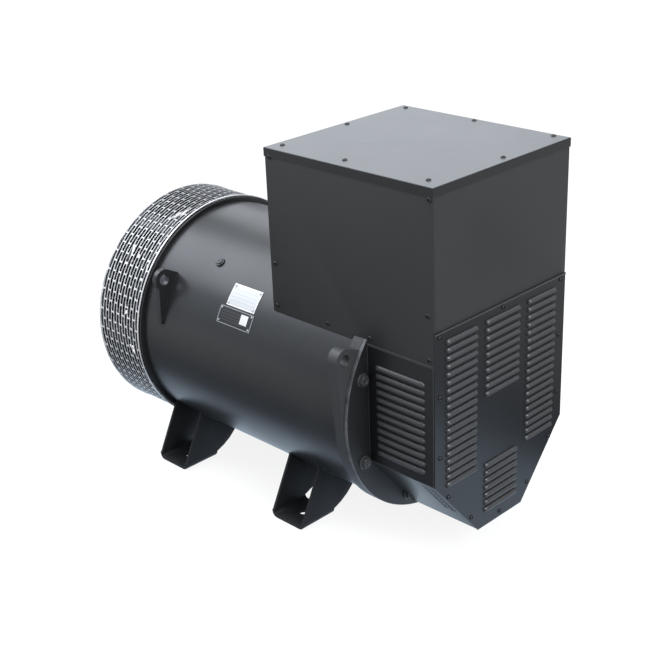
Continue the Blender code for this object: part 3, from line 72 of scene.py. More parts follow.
def aimed_camera(place, turn, rise, lean):
    back = Vector((sin(turn) * cos(rise), -cos(turn) * cos(rise), sin(rise)))
    right = Vector((cos(turn), sin(turn), 0))
    up = back.cross(right)
    across = right * cos(lean) + up * sin(lean)
    upward = up * cos(lean) - right * sin(lean)
    camera = bpy.data.objects.new("camera", bpy.data.cameras.new("camera"))
    camera.matrix_world = Matrix((
        (across.x, upward.x, back.x, place.x), (across.y, upward.y, back.y, place.y),
        (across.z, upward.z, back.z, place.z), (0, 0, 0, 1)))
    return camera


camera = aimed_camera(view_place, view_turn, view_rise, view_lean)
camera.data.sensor_width = film_width
camera.data.sensor_fit = "HORIZONTAL"
camera.data.lens = view_lens
scene.collection.objects.link(camera)
scene.camera = camera
print("camera at", [round(c, 3) for c in view_place])

# %% [markdown]
# Black paint shows only what it mirrors, so the room matters more than the lamps. The
# room here is a white tent, an even pale world, with five soft lamps: one at the left for
# the round of the barrel, a faint one in front, a broad one overhead for the louvres, one
# behind for the lid, and one at the right for the end of the box.

# %% Room and lamps
scene.view_settings.view_transform = "Standard"
room_light, floor_bounce = 0.85, 0.40


def soft_lamp(name, place, target, size, watts, tint=(1, 1, 1)):
    lamp = bpy.data.lights.new(name, "AREA")
    lamp.shape, lamp.size, lamp.energy, lamp.color = "SQUARE", size, watts, tint
    holder = bpy.data.objects.new(name, lamp)
    holder.location = place
    holder.rotation_euler = (Vector(target) - Vector(place)).to_track_quat("-Z", "Y").to_euler()
    scene.collection.objects.link(holder)


soft_lamp("left_softbox", (-2.1, -0.75, 2.6), (-0.2, 0, 0.4), 2.0, 50, (0.84, 0.91, 1.0))
soft_lamp("front_softbox", (-2.1, -2.3, 0.95), (-0.2, 0, 0.4), 1.5, 3, (0.88, 0.94, 1.0))
soft_lamp("overhead_softbox", (0.3, -0.5, 3.3), (0.2, 0, 0.5), 2.4, 70, (0.95, 0.97, 1.0))
soft_lamp("back_softbox", (-1.75, 2.0, 2.25), (0.33, 0, 0.98), 2.2, 21, (0.93, 0.96, 1.0))
soft_lamp("right_softbox", (3.0, -0.3, 1.8), (0.3, 0, 0.5), 1.6, 70)
print("five softboxes in a white tent")

# %% [markdown]
# Shader sums are easier to read as sums. A Wire holds one output of a node tree, and
# adding or multiplying two Wires makes the Math node. The same class serves materials
# and Geometry Nodes, because both use the same Math node.

# %% Node trees written as sums


class Wire:
    """One output of a node tree, on which + - * / make Math nodes."""

    def __init__(self, graph, socket):
        self.graph, self.socket = graph, socket

    def math(self, operation, *others):
        values = dict(enumerate((self,) + others))
        return self.graph.node("ShaderNodeMath", {"operation": operation}, values)

    def __add__(self, other):
        return self.math("ADD", other)

    def __sub__(self, other):
        return self.math("SUBTRACT", other)

    def __rsub__(self, other):
        return self.graph.node("ShaderNodeMath", {"operation": "SUBTRACT"}, {0: other, 1: self})

    def __mul__(self, other):
        return self.math("MULTIPLY", other)

    def __truediv__(self, other):
        return self.math("DIVIDE", other)

    def clamped(self):
        return self.math("MAXIMUM", 0.0).math("MINIMUM", 1.0)

    def near(self, middle, reach):
        """1 within the reach of a middle, and 0 outside."""
        return (self - middle).math("ABSOLUTE").math("LESS_THAN", reach)


class Graph:
    """A node tree with one method that makes any node in it, and short ones on top."""

    def __init__(self, tree):
        self.tree = tree

    def node(self, kind, settings=None, values=None, out=0):
        made = self.tree.nodes.new(kind)
        for key, value in (settings or {}).items():
            setattr(made, key, value)
        for key, value in (values or {}).items():
            if isinstance(value, Wire):
                self.tree.links.new(value.socket, made.inputs[key])
            else:
                made.inputs[key].default_value = value
        return Wire(self, made.outputs[out]) if made.outputs else made

    def split(self, vector):
        part = self.node("ShaderNodeSeparateXYZ", None, {0: vector})
        return [Wire(self, socket) for socket in part.socket.node.outputs]

    def ramp(self, share, *stops):
        """Colours over a share; each stop is a place and a colour."""
        colour = self.node("ShaderNodeValToRGB", None, {0: share})
        elements = colour.socket.node.color_ramp.elements
        while len(elements) < len(stops):
            elements.new(1.0)
        for element, (place, tone) in zip(elements, stops):
            element.position, element.color = place, tone
        return colour

    def ray(self, kind):
        return self.node("ShaderNodeLightPath", out="Is %s Ray" % kind)

    def glow(self, colour, strength, kind="Emission"):
        return self.node("ShaderNode" + kind, None, {"Color": colour, "Strength": strength})

    def choice(self, share, first, second):
        return self.node("ShaderNodeMixShader", None, {0: share, 1: first, 2: second})


class Finish(Graph):
    """A material: patterns are read from the place on the object, in metres."""

    def __init__(self, name):
        self.material = bpy.data.materials.new(name)
        self.material.use_nodes = True
        self.material.node_tree.nodes.clear()
        super().__init__(self.material.node_tree)
        self.place = self.node("ShaderNodeTexCoord", out="Object")

    def along(self, axis):
        return self.split(self.place)[axis]

    def shaft_radius(self):
        y, z = self.along(1), self.along(2) - shaft_line
        return (y * y + z * z).math("SQRT")

    def facing_up(self):
        return self.split(self.node("ShaderNodeNewGeometry", out="Normal"))[2]

    def grain(self, size, detail=2.0, stretch=None):
        place = self.place
        if stretch:
            place = self.node("ShaderNodeMapping", None, {"Vector": place, "Scale": stretch})
        return self.node("ShaderNodeTexNoise", None, {
            "Vector": place, "Scale": 1.0 / size, "Detail": detail})

    def mixed(self, share, first, second):
        values = {0: share, 6: first, 7: second}
        return self.node("ShaderNodeMix", {"data_type": "RGBA"}, values, 2)

    def done(self, colour, roughness, marks=None, depth=0.0, strength=1.0, metallic=0.0,
             mirror=0.5):
        """Marks are a height that stands up by a depth in metres."""
        values = {"Base Color": colour, "Roughness": roughness, "Metallic": metallic,
                  "Specular IOR Level": mirror}
        if marks:
            values["Normal"] = self.node("ShaderNodeBump", None, {
                "Height": marks, "Distance": depth, "Strength": strength})
        surface = self.node("ShaderNodeBsdfPrincipled", None, values)
        self.node("ShaderNodeOutputMaterial", None, {"Surface": surface})
        return self.material


def shade(red, green=None, blue=None):
    """A colour written as it looks on screen, 0 to 1, turned to linear light."""
    parts = (red, red if green is None else green, red if blue is None else blue)
    return tuple(((c + 0.055) / 1.055) ** 2.4 if c > 0.04 else c / 12.92 for c in parts) + (1,)


def toned(tone, share=1.0):
    return shade(*[c * share for c in tone])


print("node helpers ready")

# %% [markdown]
# Every mesh is drawn as a bmesh and becomes an object in one place. Its faces are turned
# outward first, and its edges are smooth unless they turn by more than the sharp angle.

# %% From mesh to object


def turned_out(mesh):
    bmesh.ops.recalc_face_normals(mesh, faces=mesh.faces)
    return mesh


def object_of(name, mesh, *finishes, sharp=None, linked=True):
    data = bpy.data.meshes.new(name)
    mesh.to_mesh(data)
    mesh.free()
    data.shade_smooth()
    if sharp:
        data.set_sharp_from_angle(angle=radians(sharp))
    for finish in finishes:
        data.materials.append(finish)
    thing = bpy.data.objects.new(name, data)
    if linked:
        scene.collection.objects.link(thing)
    return thing


print("meshes can become objects")

# %% [markdown]
# The world is the tent, and the camera sees it and the floor plain white. Paint mirrors
# other tones: a bluish sheet of floor under the machine, greyer floor beside it, and a
# dim band at the horizon under a bright roof. That is what draws the barrel's roundness
# and the fold of every panel.

# %% World and floor
white, floor_reach, floor_scale = (1, 1, 1, 1), 30, 4.0
world = bpy.data.worlds.new("white_tent")
world.use_nodes = True
world.node_tree.nodes.clear()
scene.world = world
tent = Graph(world.node_tree)
height = tent.split(tent.node("ShaderNodeTexCoord", out="Generated"))[2]
roof = tent.ramp(height, (0.0, shade(0.40, 0.42, 0.45)), (0.10, shade(0.44, 0.47, 0.51)),
                 (0.34, shade(0.84, 0.88, 0.93)), (0.8, shade(0.97, 0.98, 1.0)))
in_mirror = tent.ray("Glossy").math("MAXIMUM", tent.ray("Transmission"))
lighting = tent.choice(in_mirror, tent.glow(white, room_light, "Background"),
                       tent.glow(roof, 1.0, "Background"))
backdrop = tent.choice(tent.ray("Camera"), lighting, tent.glow(white, 1.0, "Background"))
tent.node("ShaderNodeOutputWorld", None, {"Surface": backdrop})

floor_finish = Finish("pale_floor")
mirrored_floor = floor_finish.ramp(
    floor_finish.along(1).math("ABSOLUTE") / floor_scale,
    (0.0, shade(0.86, 0.93, 1.0)), (0.077, shade(0.84, 0.92, 1.0)),
    (0.116, shade(0.42, 0.45, 0.50)), (0.16, shade(0.45, 0.47, 0.49)),
    (0.25, shade(0.66, 0.68, 0.70)), (0.5, shade(0.78, 0.79, 0.80)))
paper = floor_finish.node("ShaderNodeBsdfDiffuse", None, {"Color": (0.86, 0.88, 0.9, 1)})
half_lit = floor_finish.choice(0.8, paper, floor_finish.glow(white, 1.07))
unseen = floor_finish.choice(floor_finish.ray("Glossy"),
                             floor_finish.glow((0.82, 0.9, 1, 1), floor_bounce),
                             floor_finish.glow(mirrored_floor, 1.2))
floor_look = floor_finish.choice(floor_finish.ray("Camera"), unseen, half_lit)
floor_finish.node("ShaderNodeOutputMaterial", None, {"Surface": floor_look})

floor_mesh = bmesh.new()
floor_mesh.faces.new([floor_mesh.verts.new((x * floor_reach, y * floor_reach, 0))
                      for x, y in ((-1, -1), (1, -1), (1, 1), (-1, 1))])
object_of("floor", floor_mesh, floor_finish.material)
print("floor and world ready")

# %% [markdown]
# The barrel, its rings and the feet wear one sprayed coat: satin black over rolled
# steel. Close up it has the fine skin of an orange, a gloss that wanders by a few
# hundredths, and a little grey dust where it faces up.

# %% Painted finishes
shaft_line = 0.370
dust_grey = shade(0.45, 0.45, 0.44)


def sprayed_coat(name, tone, gloss, skin_size, skin_depth, dust=0.12, mirror=0.5):
    """The tone wanders by a fifth; sizes and depths are in metres."""
    finish = Finish(name)
    wander, speckle = finish.grain(0.16, 3.0), finish.grain(0.0034, 1.0)
    colour = finish.mixed(wander * 0.45 + speckle * 0.55, toned(tone, 0.80), toned(tone, 1.20))
    settled = finish.facing_up().clamped() * (finish.grain(0.09, 4.0) - 0.25) * dust
    colour = finish.mixed(settled.clamped(), colour, dust_grey)
    skin, fine = finish.grain(skin_size, 1.5), finish.grain(skin_size * 0.3, 2.0)
    return finish.done(colour, (wander - 0.5) * 0.10 + (fine - 0.5) * 0.05 + gloss,
                       skin + fine * 0.35, skin_depth, 0.6, mirror=mirror)


def edged_casting(rim=0.3176):
    """The bracket's paint: a darker copy of the casting coat on its face as painted shade, and a
    pale painted highlight on the outermost millimetres.
    """
    finish = Finish("bracket_casting")
    # painted highlight: the paint turns pale past the rim radius, standing for light caught by the
    # edge
    painted_edge_highlight = ((finish.shaft_radius() - rim) * 1800.0).clamped() * finish.grain(0.02, 3.0)
    # painted shade: the face is a little darker than the casting coat
    colour = finish.mixed(painted_edge_highlight, shade(0.10, 0.102, 0.108), shade(0.44, 0.45, 0.47))
    sand = finish.grain(0.002, 2.0)
    return finish.done(colour, sand * 0.15 + 0.36, sand, 0.0003, 0.6)


satin_black = sprayed_coat("satin_black_paint", (0.125, 0.128, 0.135), 0.32, 0.0035, 0.00006)
foot_black = sprayed_coat("foot_paint", (0.115, 0.117, 0.124), 0.50, 0.0035, 0.0001, 0.05, 0.16)
ring_black = sprayed_coat("rough_ring_paint", (0.195, 0.198, 0.205), 0.50, 0.0022, 0.0005, 0.2)
cast_black = sprayed_coat("painted_casting", (0.12, 0.125, 0.13), 0.45, 0.002, 0.0003)
# painted highlight: a lighter copy of the textured coat for folded rims and hems, standing for light
# along their edges
rim_painted_highlight = sprayed_coat("folded_rim_coat", (0.20, 0.202, 0.208), 0.34, 0.0016, 0.00008, 0.1)
# painted sheen: a lighter grey copy of the black panel coat for the lid's upward faces, standing for
# the sky they mirror
lid_painted_sheen = sprayed_coat("lid_coat", (0.27, 0.278, 0.29), 0.36, 0.0012, 0.00006, 0.1)
panel_black = sprayed_coat("textured_panel_coat", (0.136, 0.136, 0.138), 0.44, 0.0014, 0.00025)
# painted shade: a near-black copy of the textured panel coat for the inlet's sheets, the trough and
# the lid's skirt
louvre_painted_shade = sprayed_coat("louvre_coat", (0.052, 0.053, 0.058), 0.36, 0.0016, 0.0001, 0.1)
# painted highlight: a lighter copy of the textured coat for the louvre hoods and the end plate's
# lip, which are the same sheet
hood_painted_highlight = sprayed_coat("louvre_hood_coat", (0.20, 0.202, 0.208), 0.32, 0.0016, 0.00008, 0.1)
# painted shade: the fan, cast aluminium in the record, gets a dark grey coat standing for the dark
# inside the machine
fan_painted_shade = sprayed_coat("dull_fan_casting", (0.16, 0.16, 0.16), 0.62, 0.002, 0.0004, 0.1)
bracket_black = edged_casting()
print("eleven painted finishes")

# %% [markdown]
# Bare metals differ by how they were made. Zinc plate is rolled and dipped, so it is
# bright with cloudy patches. A shaft is ground, so it carries rings of fine marks. Core
# sheets are stacked, so they show as lines across the shaft.

# %% Metal finishes


def zinc_plate(name="bright_zinc_plate", inner_radius=0):
    """Zinc sheet; a rolled one gets painted shade inside its inner radius and on its upward faces.
    """
    finish = Finish(name)
    cloud, rolled = finish.grain(0.03, 3.0), finish.grain(0.0012, 2.0, (0.12, 1, 1))
    colour = finish.mixed(cloud, shade(0.90, 0.905, 0.91), shade(0.98))
    if inner_radius:
        # painted shade: the inner face is painted near black, standing for the dark inside the
        # machine
        painted_inner_shade = finish.shaft_radius().math("LESS_THAN", inner_radius)
        colour = finish.mixed(painted_inner_shade, colour, shade(0.16, 0.16, 0.17))
        # painted shade: faces turned up are painted darker grey, for how the light falls on the top
        painted_top_shade = ((finish.facing_up() - 0.5) * 2.6).clamped() * 0.8
        colour = finish.mixed(painted_top_shade, colour, shade(0.40, 0.41, 0.43))
    return finish.done(colour, (cloud - 0.5) * 0.18 + 0.33, rolled, 0.00004, 0.5, 0.5)


def ground_steel():
    finish = Finish("ground_steel")
    rings = finish.grain(0.0009, 2.0, (1, 0.05, 0.05))
    colour = finish.mixed(finish.grain(0.02), shade(0.62, 0.62, 0.63), shade(0.75, 0.75, 0.76))
    return finish.done(colour, (rings - 0.5) * 0.2 + 0.3, rings, 0.00003, 0.5, 1.0)


def stacked_core(sheet_pair=0.004):
    finish = Finish("stacked_core_sheets")
    sheets = (finish.along(0) * (tau / sheet_pair)).math("SINE") * 0.5 + 0.5
    colour = finish.mixed(sheets, shade(0.20, 0.21, 0.22), shade(0.36, 0.37, 0.39))
    return finish.done(colour, finish.grain(0.01) * 0.2 + 0.4, sheets, 0.0004, 0.7, 0.6)


def varnished_copper():
    finish = Finish("varnished_copper")
    cloud, wires = finish.grain(0.012, 4.0), finish.grain(0.0022, 1.0, (0.2, 1, 1))
    colour = finish.mixed(cloud, shade(0.42, 0.20, 0.11), shade(0.66, 0.36, 0.20))
    return finish.done(colour, cloud * 0.2 + 0.28, wires, 0.0006, 0.7, 0.35)


def cast_aluminium():
    finish = Finish("cast_aluminium")
    sand = finish.grain(0.0015, 3.0)
    colour = finish.mixed(finish.grain(0.03), shade(0.62, 0.63, 0.64), shade(0.76, 0.77, 0.78))
    return finish.done(colour, sand * 0.2 + 0.4, sand, 0.0002, 0.6, 0.9)


def moulded(name, tone, gloss):
    finish = Finish(name)
    mould = finish.grain(0.0008, 2.0)
    colour = finish.mixed(finish.grain(0.02, 3.0), toned(tone, 0.88), toned(tone))
    return finish.done(colour, mould * 0.12 + gloss, mould, 0.00008, 0.5)


def ruled(name, dark, light, rule, border, square=None):
    """A blank plate: faint ruled lines and a thin border, laid out on the plate's own UV."""
    finish = Finish(name)
    u, v, _ = finish.split(finish.node("ShaderNodeUVMap", {"uv_map": "face"}))
    lines = (v * 6.0).math("FRACT").near(0.5, 0.05)
    field = u.near(0.5, 0.42) * v.near(0.5, 0.40)
    colour = finish.mixed(finish.grain(0.004, 3.0) * 0.5 + 0.25, dark, light)
    colour = finish.mixed(lines * field * 0.6, colour, rule)
    colour = finish.mixed(1.0 - u.near(0.5, 0.48) * v.near(0.5, 0.455), colour, border)
    if square:
        colour = finish.mixed(u.near(0.76, 0.105) * v.near(0.57, 0.28), colour, square)
    return finish.done(colour, finish.grain(0.01) * 0.15 + 0.35, metallic=0.25)


zinc, steel, core, copper = zinc_plate(), ground_steel(), stacked_core(), varnished_copper()
# the screen's zinc carries painted shade inside and on top
screen_zinc = zinc_plate("screen_zinc_plate", 0.3255)
aluminium = cast_aluminium()
board_brown = moulded("insulating_board", (0.48, 0.33, 0.2), 0.45)
black_plastic = moulded("black_plastic", (0.13, 0.13, 0.135), 0.4)
black_screw = moulded("blackened_screw", (0.055, 0.055, 0.06), 0.34)
# painted shade: near-black strips stand for the dark inside of the flank slits
slit_painted_shade = moulded("slit_shadow", (0.03, 0.03, 0.032), 0.85)
dull_screw = moulded("painted_bolt", (0.22, 0.222, 0.228), 0.30)
ruled_plate = ruled("figures_plate_face", shade(0.70, 0.71, 0.72), shade(0.80, 0.805, 0.81),
                    shade(0.55, 0.56, 0.58), shade(0.9))
framed_plate = ruled("lower_plate_face", shade(0.12, 0.12, 0.13), shade(0.2, 0.2, 0.21),
                     shade(0.4, 0.4, 0.41), shade(0.55, 0.56, 0.58), shade(0.86))
print("metal, plastic and plate finishes")

# %% [markdown]
# Each solid of the model gets the finish its record names, but the lid wears a lighter
# copy of the black coat as painted sheen and the inlet's sheets a darker one as painted
# shade. The solids keep their shapes here; only their material slots change.

# %% Finishes on the model's own solids
finish_of_slot = {
    "black_satin_paint": satin_black, "black_textured_coat": panel_black,
    "painted_casting": cast_black, "zinc_sheet": zinc, "bright_steel": steel,
    "core_steel": core, "varnished_copper": copper, "cast_aluminium": aluminium,
    "insulating_board": board_brown, "black_plastic": black_plastic,
    "aluminium_label": zinc}
slot_of_node = {piece["node"]: piece["material_slot"] for piece in frame["record"]["subparts"]}
# the lid and the inlet's sheets trade the record's textured coat for painted sheen and painted shade
own_finish = {"terminal_box_lid": lid_painted_sheen, "inlet_end_plate": louvre_painted_shade,
              "inlet_side_panel_left": louvre_painted_shade, "inlet_side_panel_right": louvre_painted_shade,
              "inlet_trough": louvre_painted_shade}
for name, slot in slot_of_node.items():
    materials = nodes[name].data.materials
    materials.clear()
    materials.append(own_finish.get(name, finish_of_slot[slot]))
print("finishes on", len(slot_of_node), "solids")

# %% [markdown]
# Three ways of making a body cover this machine. A flat part is an outline with holes,
# given a thickness. A round part is a profile turned about the shaft. A part whose solid
# already has the right shape is copied, and only its edges are broken.

# %% Making bodies from outlines, profiles and copies
sheet, seat = 0.0015, 0.0003
same_point, flat_turn = 0.00002, radians(0.15)
sides = (("left", -1), ("right", 1))


def facing_x(u, v, w):
    return (w, u, v + shaft_line)


def arc(radius, first, last, steps, u=0.0, v=0.0):
    turns = [first + (last - first) * k / steps for k in range(steps + 1)]
    return [(u + radius * cos(turn), v + radius * sin(turn)) for turn in turns]


def ring_of(radius, steps=160, u=0.0, v=0.0):
    return arc(radius, 0, tau, steps, u, v)[:-1]


def mirrored(loop):
    return [(-u, v) for u, v in loop]


def walled(mesh, here, there, closed=True):
    """Faces between two rows of points."""
    for k in range(len(here) - (not closed)):
        n = (k + 1) % len(here)
        mesh.faces.new((here[k], here[n], there[n], there[k]))


def cut_plate(loops, low, high, place=facing_x, mesh=None):
    """A flat plate: the first loop is its outline and the others are holes through it."""
    mesh = mesh or bmesh.new()
    levels = [[[mesh.verts.new(place(u, v, w)) for u, v in loop] for loop in loops]
              for w in (low, high)]
    flat = [sum(level, []) for level in levels]
    for triangle in tessellate_polygon([[Vector((u, v, 0)) for u, v in loop] for loop in loops]):
        for verts in flat:
            mesh.faces.new([verts[k] for k in triangle])
    for bottom, top in zip(*levels):
        walled(mesh, bottom, top)
    return mesh


def turned_shape(profile, steps=160, mesh=None):
    """A closed (x, radius) profile turned about the shaft."""
    mesh = mesh or bmesh.new()
    rings = [[mesh.verts.new(facing_x(u, v, x)) for u, v in ring_of(r, steps)]
             for x, r in profile]
    for here, there in zip(rings, rings[1:] + rings[:1]):
        walled(mesh, here, there)
    return mesh


def made_plain(thing):
    """Turn the modifiers' result into the object's own mesh."""
    bpy.context.view_layer.update()
    graph = bpy.context.evaluated_depsgraph_get()
    plain = bpy.data.meshes.new_from_object(thing.evaluated_get(graph), depsgraph=graph,
                                            preserve_all_data_layers=True)
    thing.modifiers.clear()
    thing.data = plain
    plain.name = thing.name


def entered(thing, rides_on="frame", stands_for=(), slot=None):
    """Say what a piece rides on and stands for; its slot is worked out from its solid unless given,
    and is not used.
    """
    slot = slot or slot_of_node[stands_for[0]]
    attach(thing, rides_on)
    if stands_for:
        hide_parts(*stands_for)
    return thing


def body(name, mesh, finish, width=0.0, rides_on="frame", stands_for=(), slot=None, sharp=32,
         segments=2):
    """Link a mesh as a piece: normals outward, edges broken by width, smooth where round."""
    bmesh.ops.dissolve_limit(turned_out(mesh), angle_limit=flat_turn, verts=mesh.verts,
                             edges=mesh.edges)
    thing = object_of(name, mesh, finish, sharp=None if width else sharp)
    if width:
        bevel = thing.modifiers.new("broken_edges", "BEVEL")
        bevel.width, bevel.segments, bevel.limit_method = width, segments, "ANGLE"
        bevel.angle_limit, bevel.harden_normals = radians(sharp), True
        made_plain(thing)
    return entered(thing, rides_on, stands_for, slot)


def solid_copy(name):
    mesh = bmesh.new()
    mesh.from_mesh(nodes[name].data)
    bmesh.ops.remove_doubles(mesh, verts=mesh.verts, dist=same_point)
    return mesh


def softened(name, width, finish, rides_on="frame"):
    """A copy of a solid with its edges broken, which then stands for it."""
    return body(name + "_dressed", solid_copy(name), finish, width, rides_on, (name,))


print("ways of making bodies ready")

# %% [markdown]
# What repeats is made by Geometry Nodes. A Recipe is one such tree: it has named inputs,
# it is written with the same sums as a finish, and it ends in Realize Instances and Set
# Material so that what comes out is plain mesh.

# %% Recipes: Geometry Nodes trees with named inputs


class Recipe(Graph):
    """A Geometry Nodes tree. Inputs are given as label: socket type."""

    def __init__(self, name, **inputs):
        tree = bpy.data.node_groups.new(name, "GeometryNodeTree")
        super().__init__(tree)
        for way in ("INPUT", "OUTPUT"):
            tree.interface.new_socket("Geometry", in_out=way, socket_type="NodeSocketGeometry")
        self.labels = {label: tree.interface.new_socket(
            label, in_out="INPUT", socket_type="NodeSocket" + kind).identifier
            for label, kind in inputs.items()}
        self.start = tree.nodes.new("NodeGroupInput")

    def given(self, label):
        return Wire(self, self.start.outputs[label])

    def shape(self, label):
        return self.node("GeometryNodeObjectInfo", None, {"Object": self.given(label)}, "Geometry")

    def where(self):
        return self.split(self.node("GeometryNodeInputPosition"))

    def joined(self, x, y, z):
        return self.node("ShaderNodeCombineXYZ", None, {0: x, 1: y, 2: z})

    def noted(self, name):
        return self.node("GeometryNodeInputNamedAttribute", {"data_type": "FLOAT_VECTOR"},
                         {"Name": name})

    def together(self, *parts):
        join = self.tree.nodes.new("GeometryNodeJoinGeometry")
        for part in parts:
            self.tree.links.new(part.socket, join.inputs[0])
        return Wire(self, join.outputs[0])

    def merged(self, geometry, distance):
        return self.node("GeometryNodeMergeByDistance", None, {
            "Geometry": geometry, "Distance": distance})

    def thickened(self, skin, depth):
        """Close a skin: its copy moved inward, turned over, and the rim between them."""
        raised = self.node("GeometryNodeExtrudeMesh", None, {
            "Mesh": skin, "Offset Scale": depth, "Individual": False})
        under = self.node("GeometryNodeFlipFaces", None, {"Mesh": skin})
        return self.merged(self.together(raised, under), 0.000001)

    def ends_in(self, geometry):
        plain = self.node("GeometryNodeRealizeInstances", None, {"Geometry": geometry})
        coated = self.node("GeometryNodeSetMaterial", None, {
            "Geometry": plain, "Material": self.given("Finish")})
        self.node("NodeGroupOutput", None, {"Geometry": coated})
        return self

    def cook(self, name, start_mesh, values):
        """Run the recipe on a start mesh and return a plain object."""
        thing = object_of(name, start_mesh)
        modifier = thing.modifiers.new("recipe", "NODES")
        modifier.node_group = self.tree
        for label, value in values.items():
            modifier[self.labels[label]] = value
        made_plain(thing)
        return thing


def heads_recipe():
    """A fastener head on every point, standing along the point's own outward direction."""
    recipe = Recipe("fastener_heads", Head="Object", Seed="Int", Finish="Material")
    upright = recipe.node("FunctionNodeAlignRotationToVector", {"axis": "Z"}, {
        "Vector": recipe.noted("outward")})
    spin = recipe.node("FunctionNodeRandomValue", {"data_type": "FLOAT"}, {
        2: 0.0, 3: tau, "Seed": recipe.given("Seed")}, 1)
    turn = recipe.node("FunctionNodeAxisAngleToRotation", None, {"Axis": (0, 0, 1), "Angle": spin})
    aimed = recipe.node("FunctionNodeRotateRotation", {"rotation_space": "LOCAL"}, {
        "Rotation": upright, "Rotate By": turn})
    return recipe.ends_in(recipe.node("GeometryNodeInstanceOnPoints", None, {
        "Points": recipe.given("Geometry"), "Instance": recipe.shape("Head"),
        "Rotation": aimed}))


fastener_heads = heads_recipe()
print("recipe", fastener_heads.tree.name, "has", len(fastener_heads.labels), "inputs")

# %% [markdown]
# The heads themselves are turned from a few rings: a domed button head with a hexagon
# socket, a hexagon bolt on its washer, and a small rivet. Each has only a few dozen
# faces, because the recipe repeats it many times.

# %% Fastener heads


def lathe_rings(rings, mesh=None):
    """Stack rings of (radius, height, corners) and close both ends."""
    mesh = mesh or bmesh.new()
    loops = [[mesh.verts.new((u, v, z)) for u, v in ring_of(r, n)] for r, z, n in rings]
    for here, there in zip(loops, loops[1:]):
        edges = [mesh.edges.get(pair) or mesh.edges.new(pair) for loop in (here, there)
                 for pair in zip(loop, loop[1:] + loop[:1])]
        bmesh.ops.bridge_loops(mesh, edges=edges)
    mesh.faces.new(list(reversed(loops[0])))
    mesh.faces.new(loops[-1])
    return mesh


def head_object(name, mesh):
    return object_of(name, turned_out(mesh), sharp=35, linked=False)


def button_head(r):
    return lathe_rings([(r * 0.96, -0.0004, 18), (r, 0.0004, 18), (r * 0.93, r * 0.28, 18),
                        (r * 0.72, r * 0.48, 18), (r * 0.52, r * 0.54, 18),
                        (r * 0.44, r * 0.52, 6), (r * 0.44, r * 0.20, 6)])


def hexagon_head(r):
    washer = lathe_rings([(r * 1.22, -0.0004, 24), (r * 1.25, r * 0.05, 24),
                          (r * 1.25, r * 0.17, 24), (r * 1.2, r * 0.2, 24)])
    return lathe_rings([(r, r * 0.19, 6), (r, r * 0.72, 6), (r * 0.9, r * 0.84, 12),
                        (r * 0.5, r * 0.86, 12), (r * 0.42, r * 0.80, 12)], washer)


def rivet_head(r):
    return lathe_rings([(r, -0.0003, 12), (r, r * 0.2, 12), (r * 0.8, r * 0.52, 12),
                        (r * 0.4, r * 0.68, 12)])


button = head_object("button_head", button_head(0.0062))
hexagon = head_object("hexagon_bolt", hexagon_head(0.0140))
small_hexagon = head_object("small_hexagon_bolt", hexagon_head(0.0095))
rivet = head_object("rivet_head", rivet_head(0.0032))


def bolt_turns(count):
    return [tau * (k + 0.5) / count for k in range(count)]


def bolt_circle(x, radius, count, facing):
    return [(facing_x(radius * cos(turn), radius * sin(turn), x), (facing, 0, 0))
            for turn in bolt_turns(count)]


def on_round(x, radius, turn):
    """A spot on the left of something round, turned up from the horizontal."""
    return (facing_x(-radius * cos(turn), radius * sin(turn), x), (0, -cos(turn), sin(turn)))


def fastened(name, head, spots, finish, rides_on="frame", seed=3, slot="black_satin_paint"):
    """Spots are (place, outward direction) pairs, in metres."""
    mesh = bmesh.new()
    outward = mesh.verts.layers.float_vector.new("outward")
    for place, direction in spots:
        mesh.verts.new(place)[outward] = Vector(direction).normalized()
    thing = fastener_heads.cook(name, mesh, {"Head": head, "Seed": seed, "Finish": finish})
    print(name, len(spots), "heads,", len(thing.data.polygons), "faces")
    return entered(thing, rides_on, slot=slot)


print("four fastener heads")

# %% [markdown]
# The barrel is one sheet rolled into a tube, 6 mm thick. It is laid out as a grid round
# the shaft, and the cells of the lead window, where the cables come up into the box, are
# left open and walled in.

# %% Barrel
barrel_radius, barrel_wall = 0.311, 0.006
barrel_x, barrel_end = -0.39055, 0.34645
ring_x, ring_face, bracket_face = 0.34675, 0.37675, 0.38705
window_x, window_half, window_steps = 0.15645, 0.045, 5


def rolled_shell(stations, outer, inner, steps, is_open):
    mesh = bmesh.new()
    skins = [[[mesh.verts.new((x, r * sin(tau * k / steps), r * cos(tau * k / steps) + shaft_line))
               for k in range(steps)] for x in stations] for r in (outer, inner)]
    last = len(stations) - 1

    def solid(i, k):
        return 0 <= i < last and not is_open(i, k % steps)

    for i in range(last):
        for k in range(steps):
            n = (k + 1) % steps
            if not solid(i, k):
                continue
            for skin in skins:
                mesh.faces.new((skin[i][k], skin[i][n], skin[i + 1][n], skin[i + 1][k]))
            for covered, (i0, k0), (i1, k1) in (
                    (solid(i - 1, k), (i, k), (i, n)), (solid(i + 1, k), (i + 1, k), (i + 1, n)),
                    (solid(i, k - 1), (i, k), (i + 1, k)), (solid(i, k + 1), (i, n), (i + 1, n))):
                if not covered:
                    mesh.faces.new((skins[0][i0][k0], skins[0][i1][k1],
                                    skins[1][i1][k1], skins[1][i0][k0]))
    return mesh


shell = rolled_shell([barrel_x, window_x - window_half, window_x + window_half, barrel_end],
                     barrel_radius, barrel_radius - barrel_wall, 160,
                     lambda i, k: i == 1 and (k < window_steps or k >= 160 - window_steps))
body("barrel_shell", shell, satin_black, stands_for=("frame_barrel",))
print("barrel", round(barrel_end - barrel_x, 3), "m long")

# %% [markdown]
# Flame-cut rings are welded to both ends of the barrel. The one by the louvres runs out
# into two lifting ears. An ear is a crescent: it leans on the barrel with a long tail and
# carries a shackle hole in its round head.

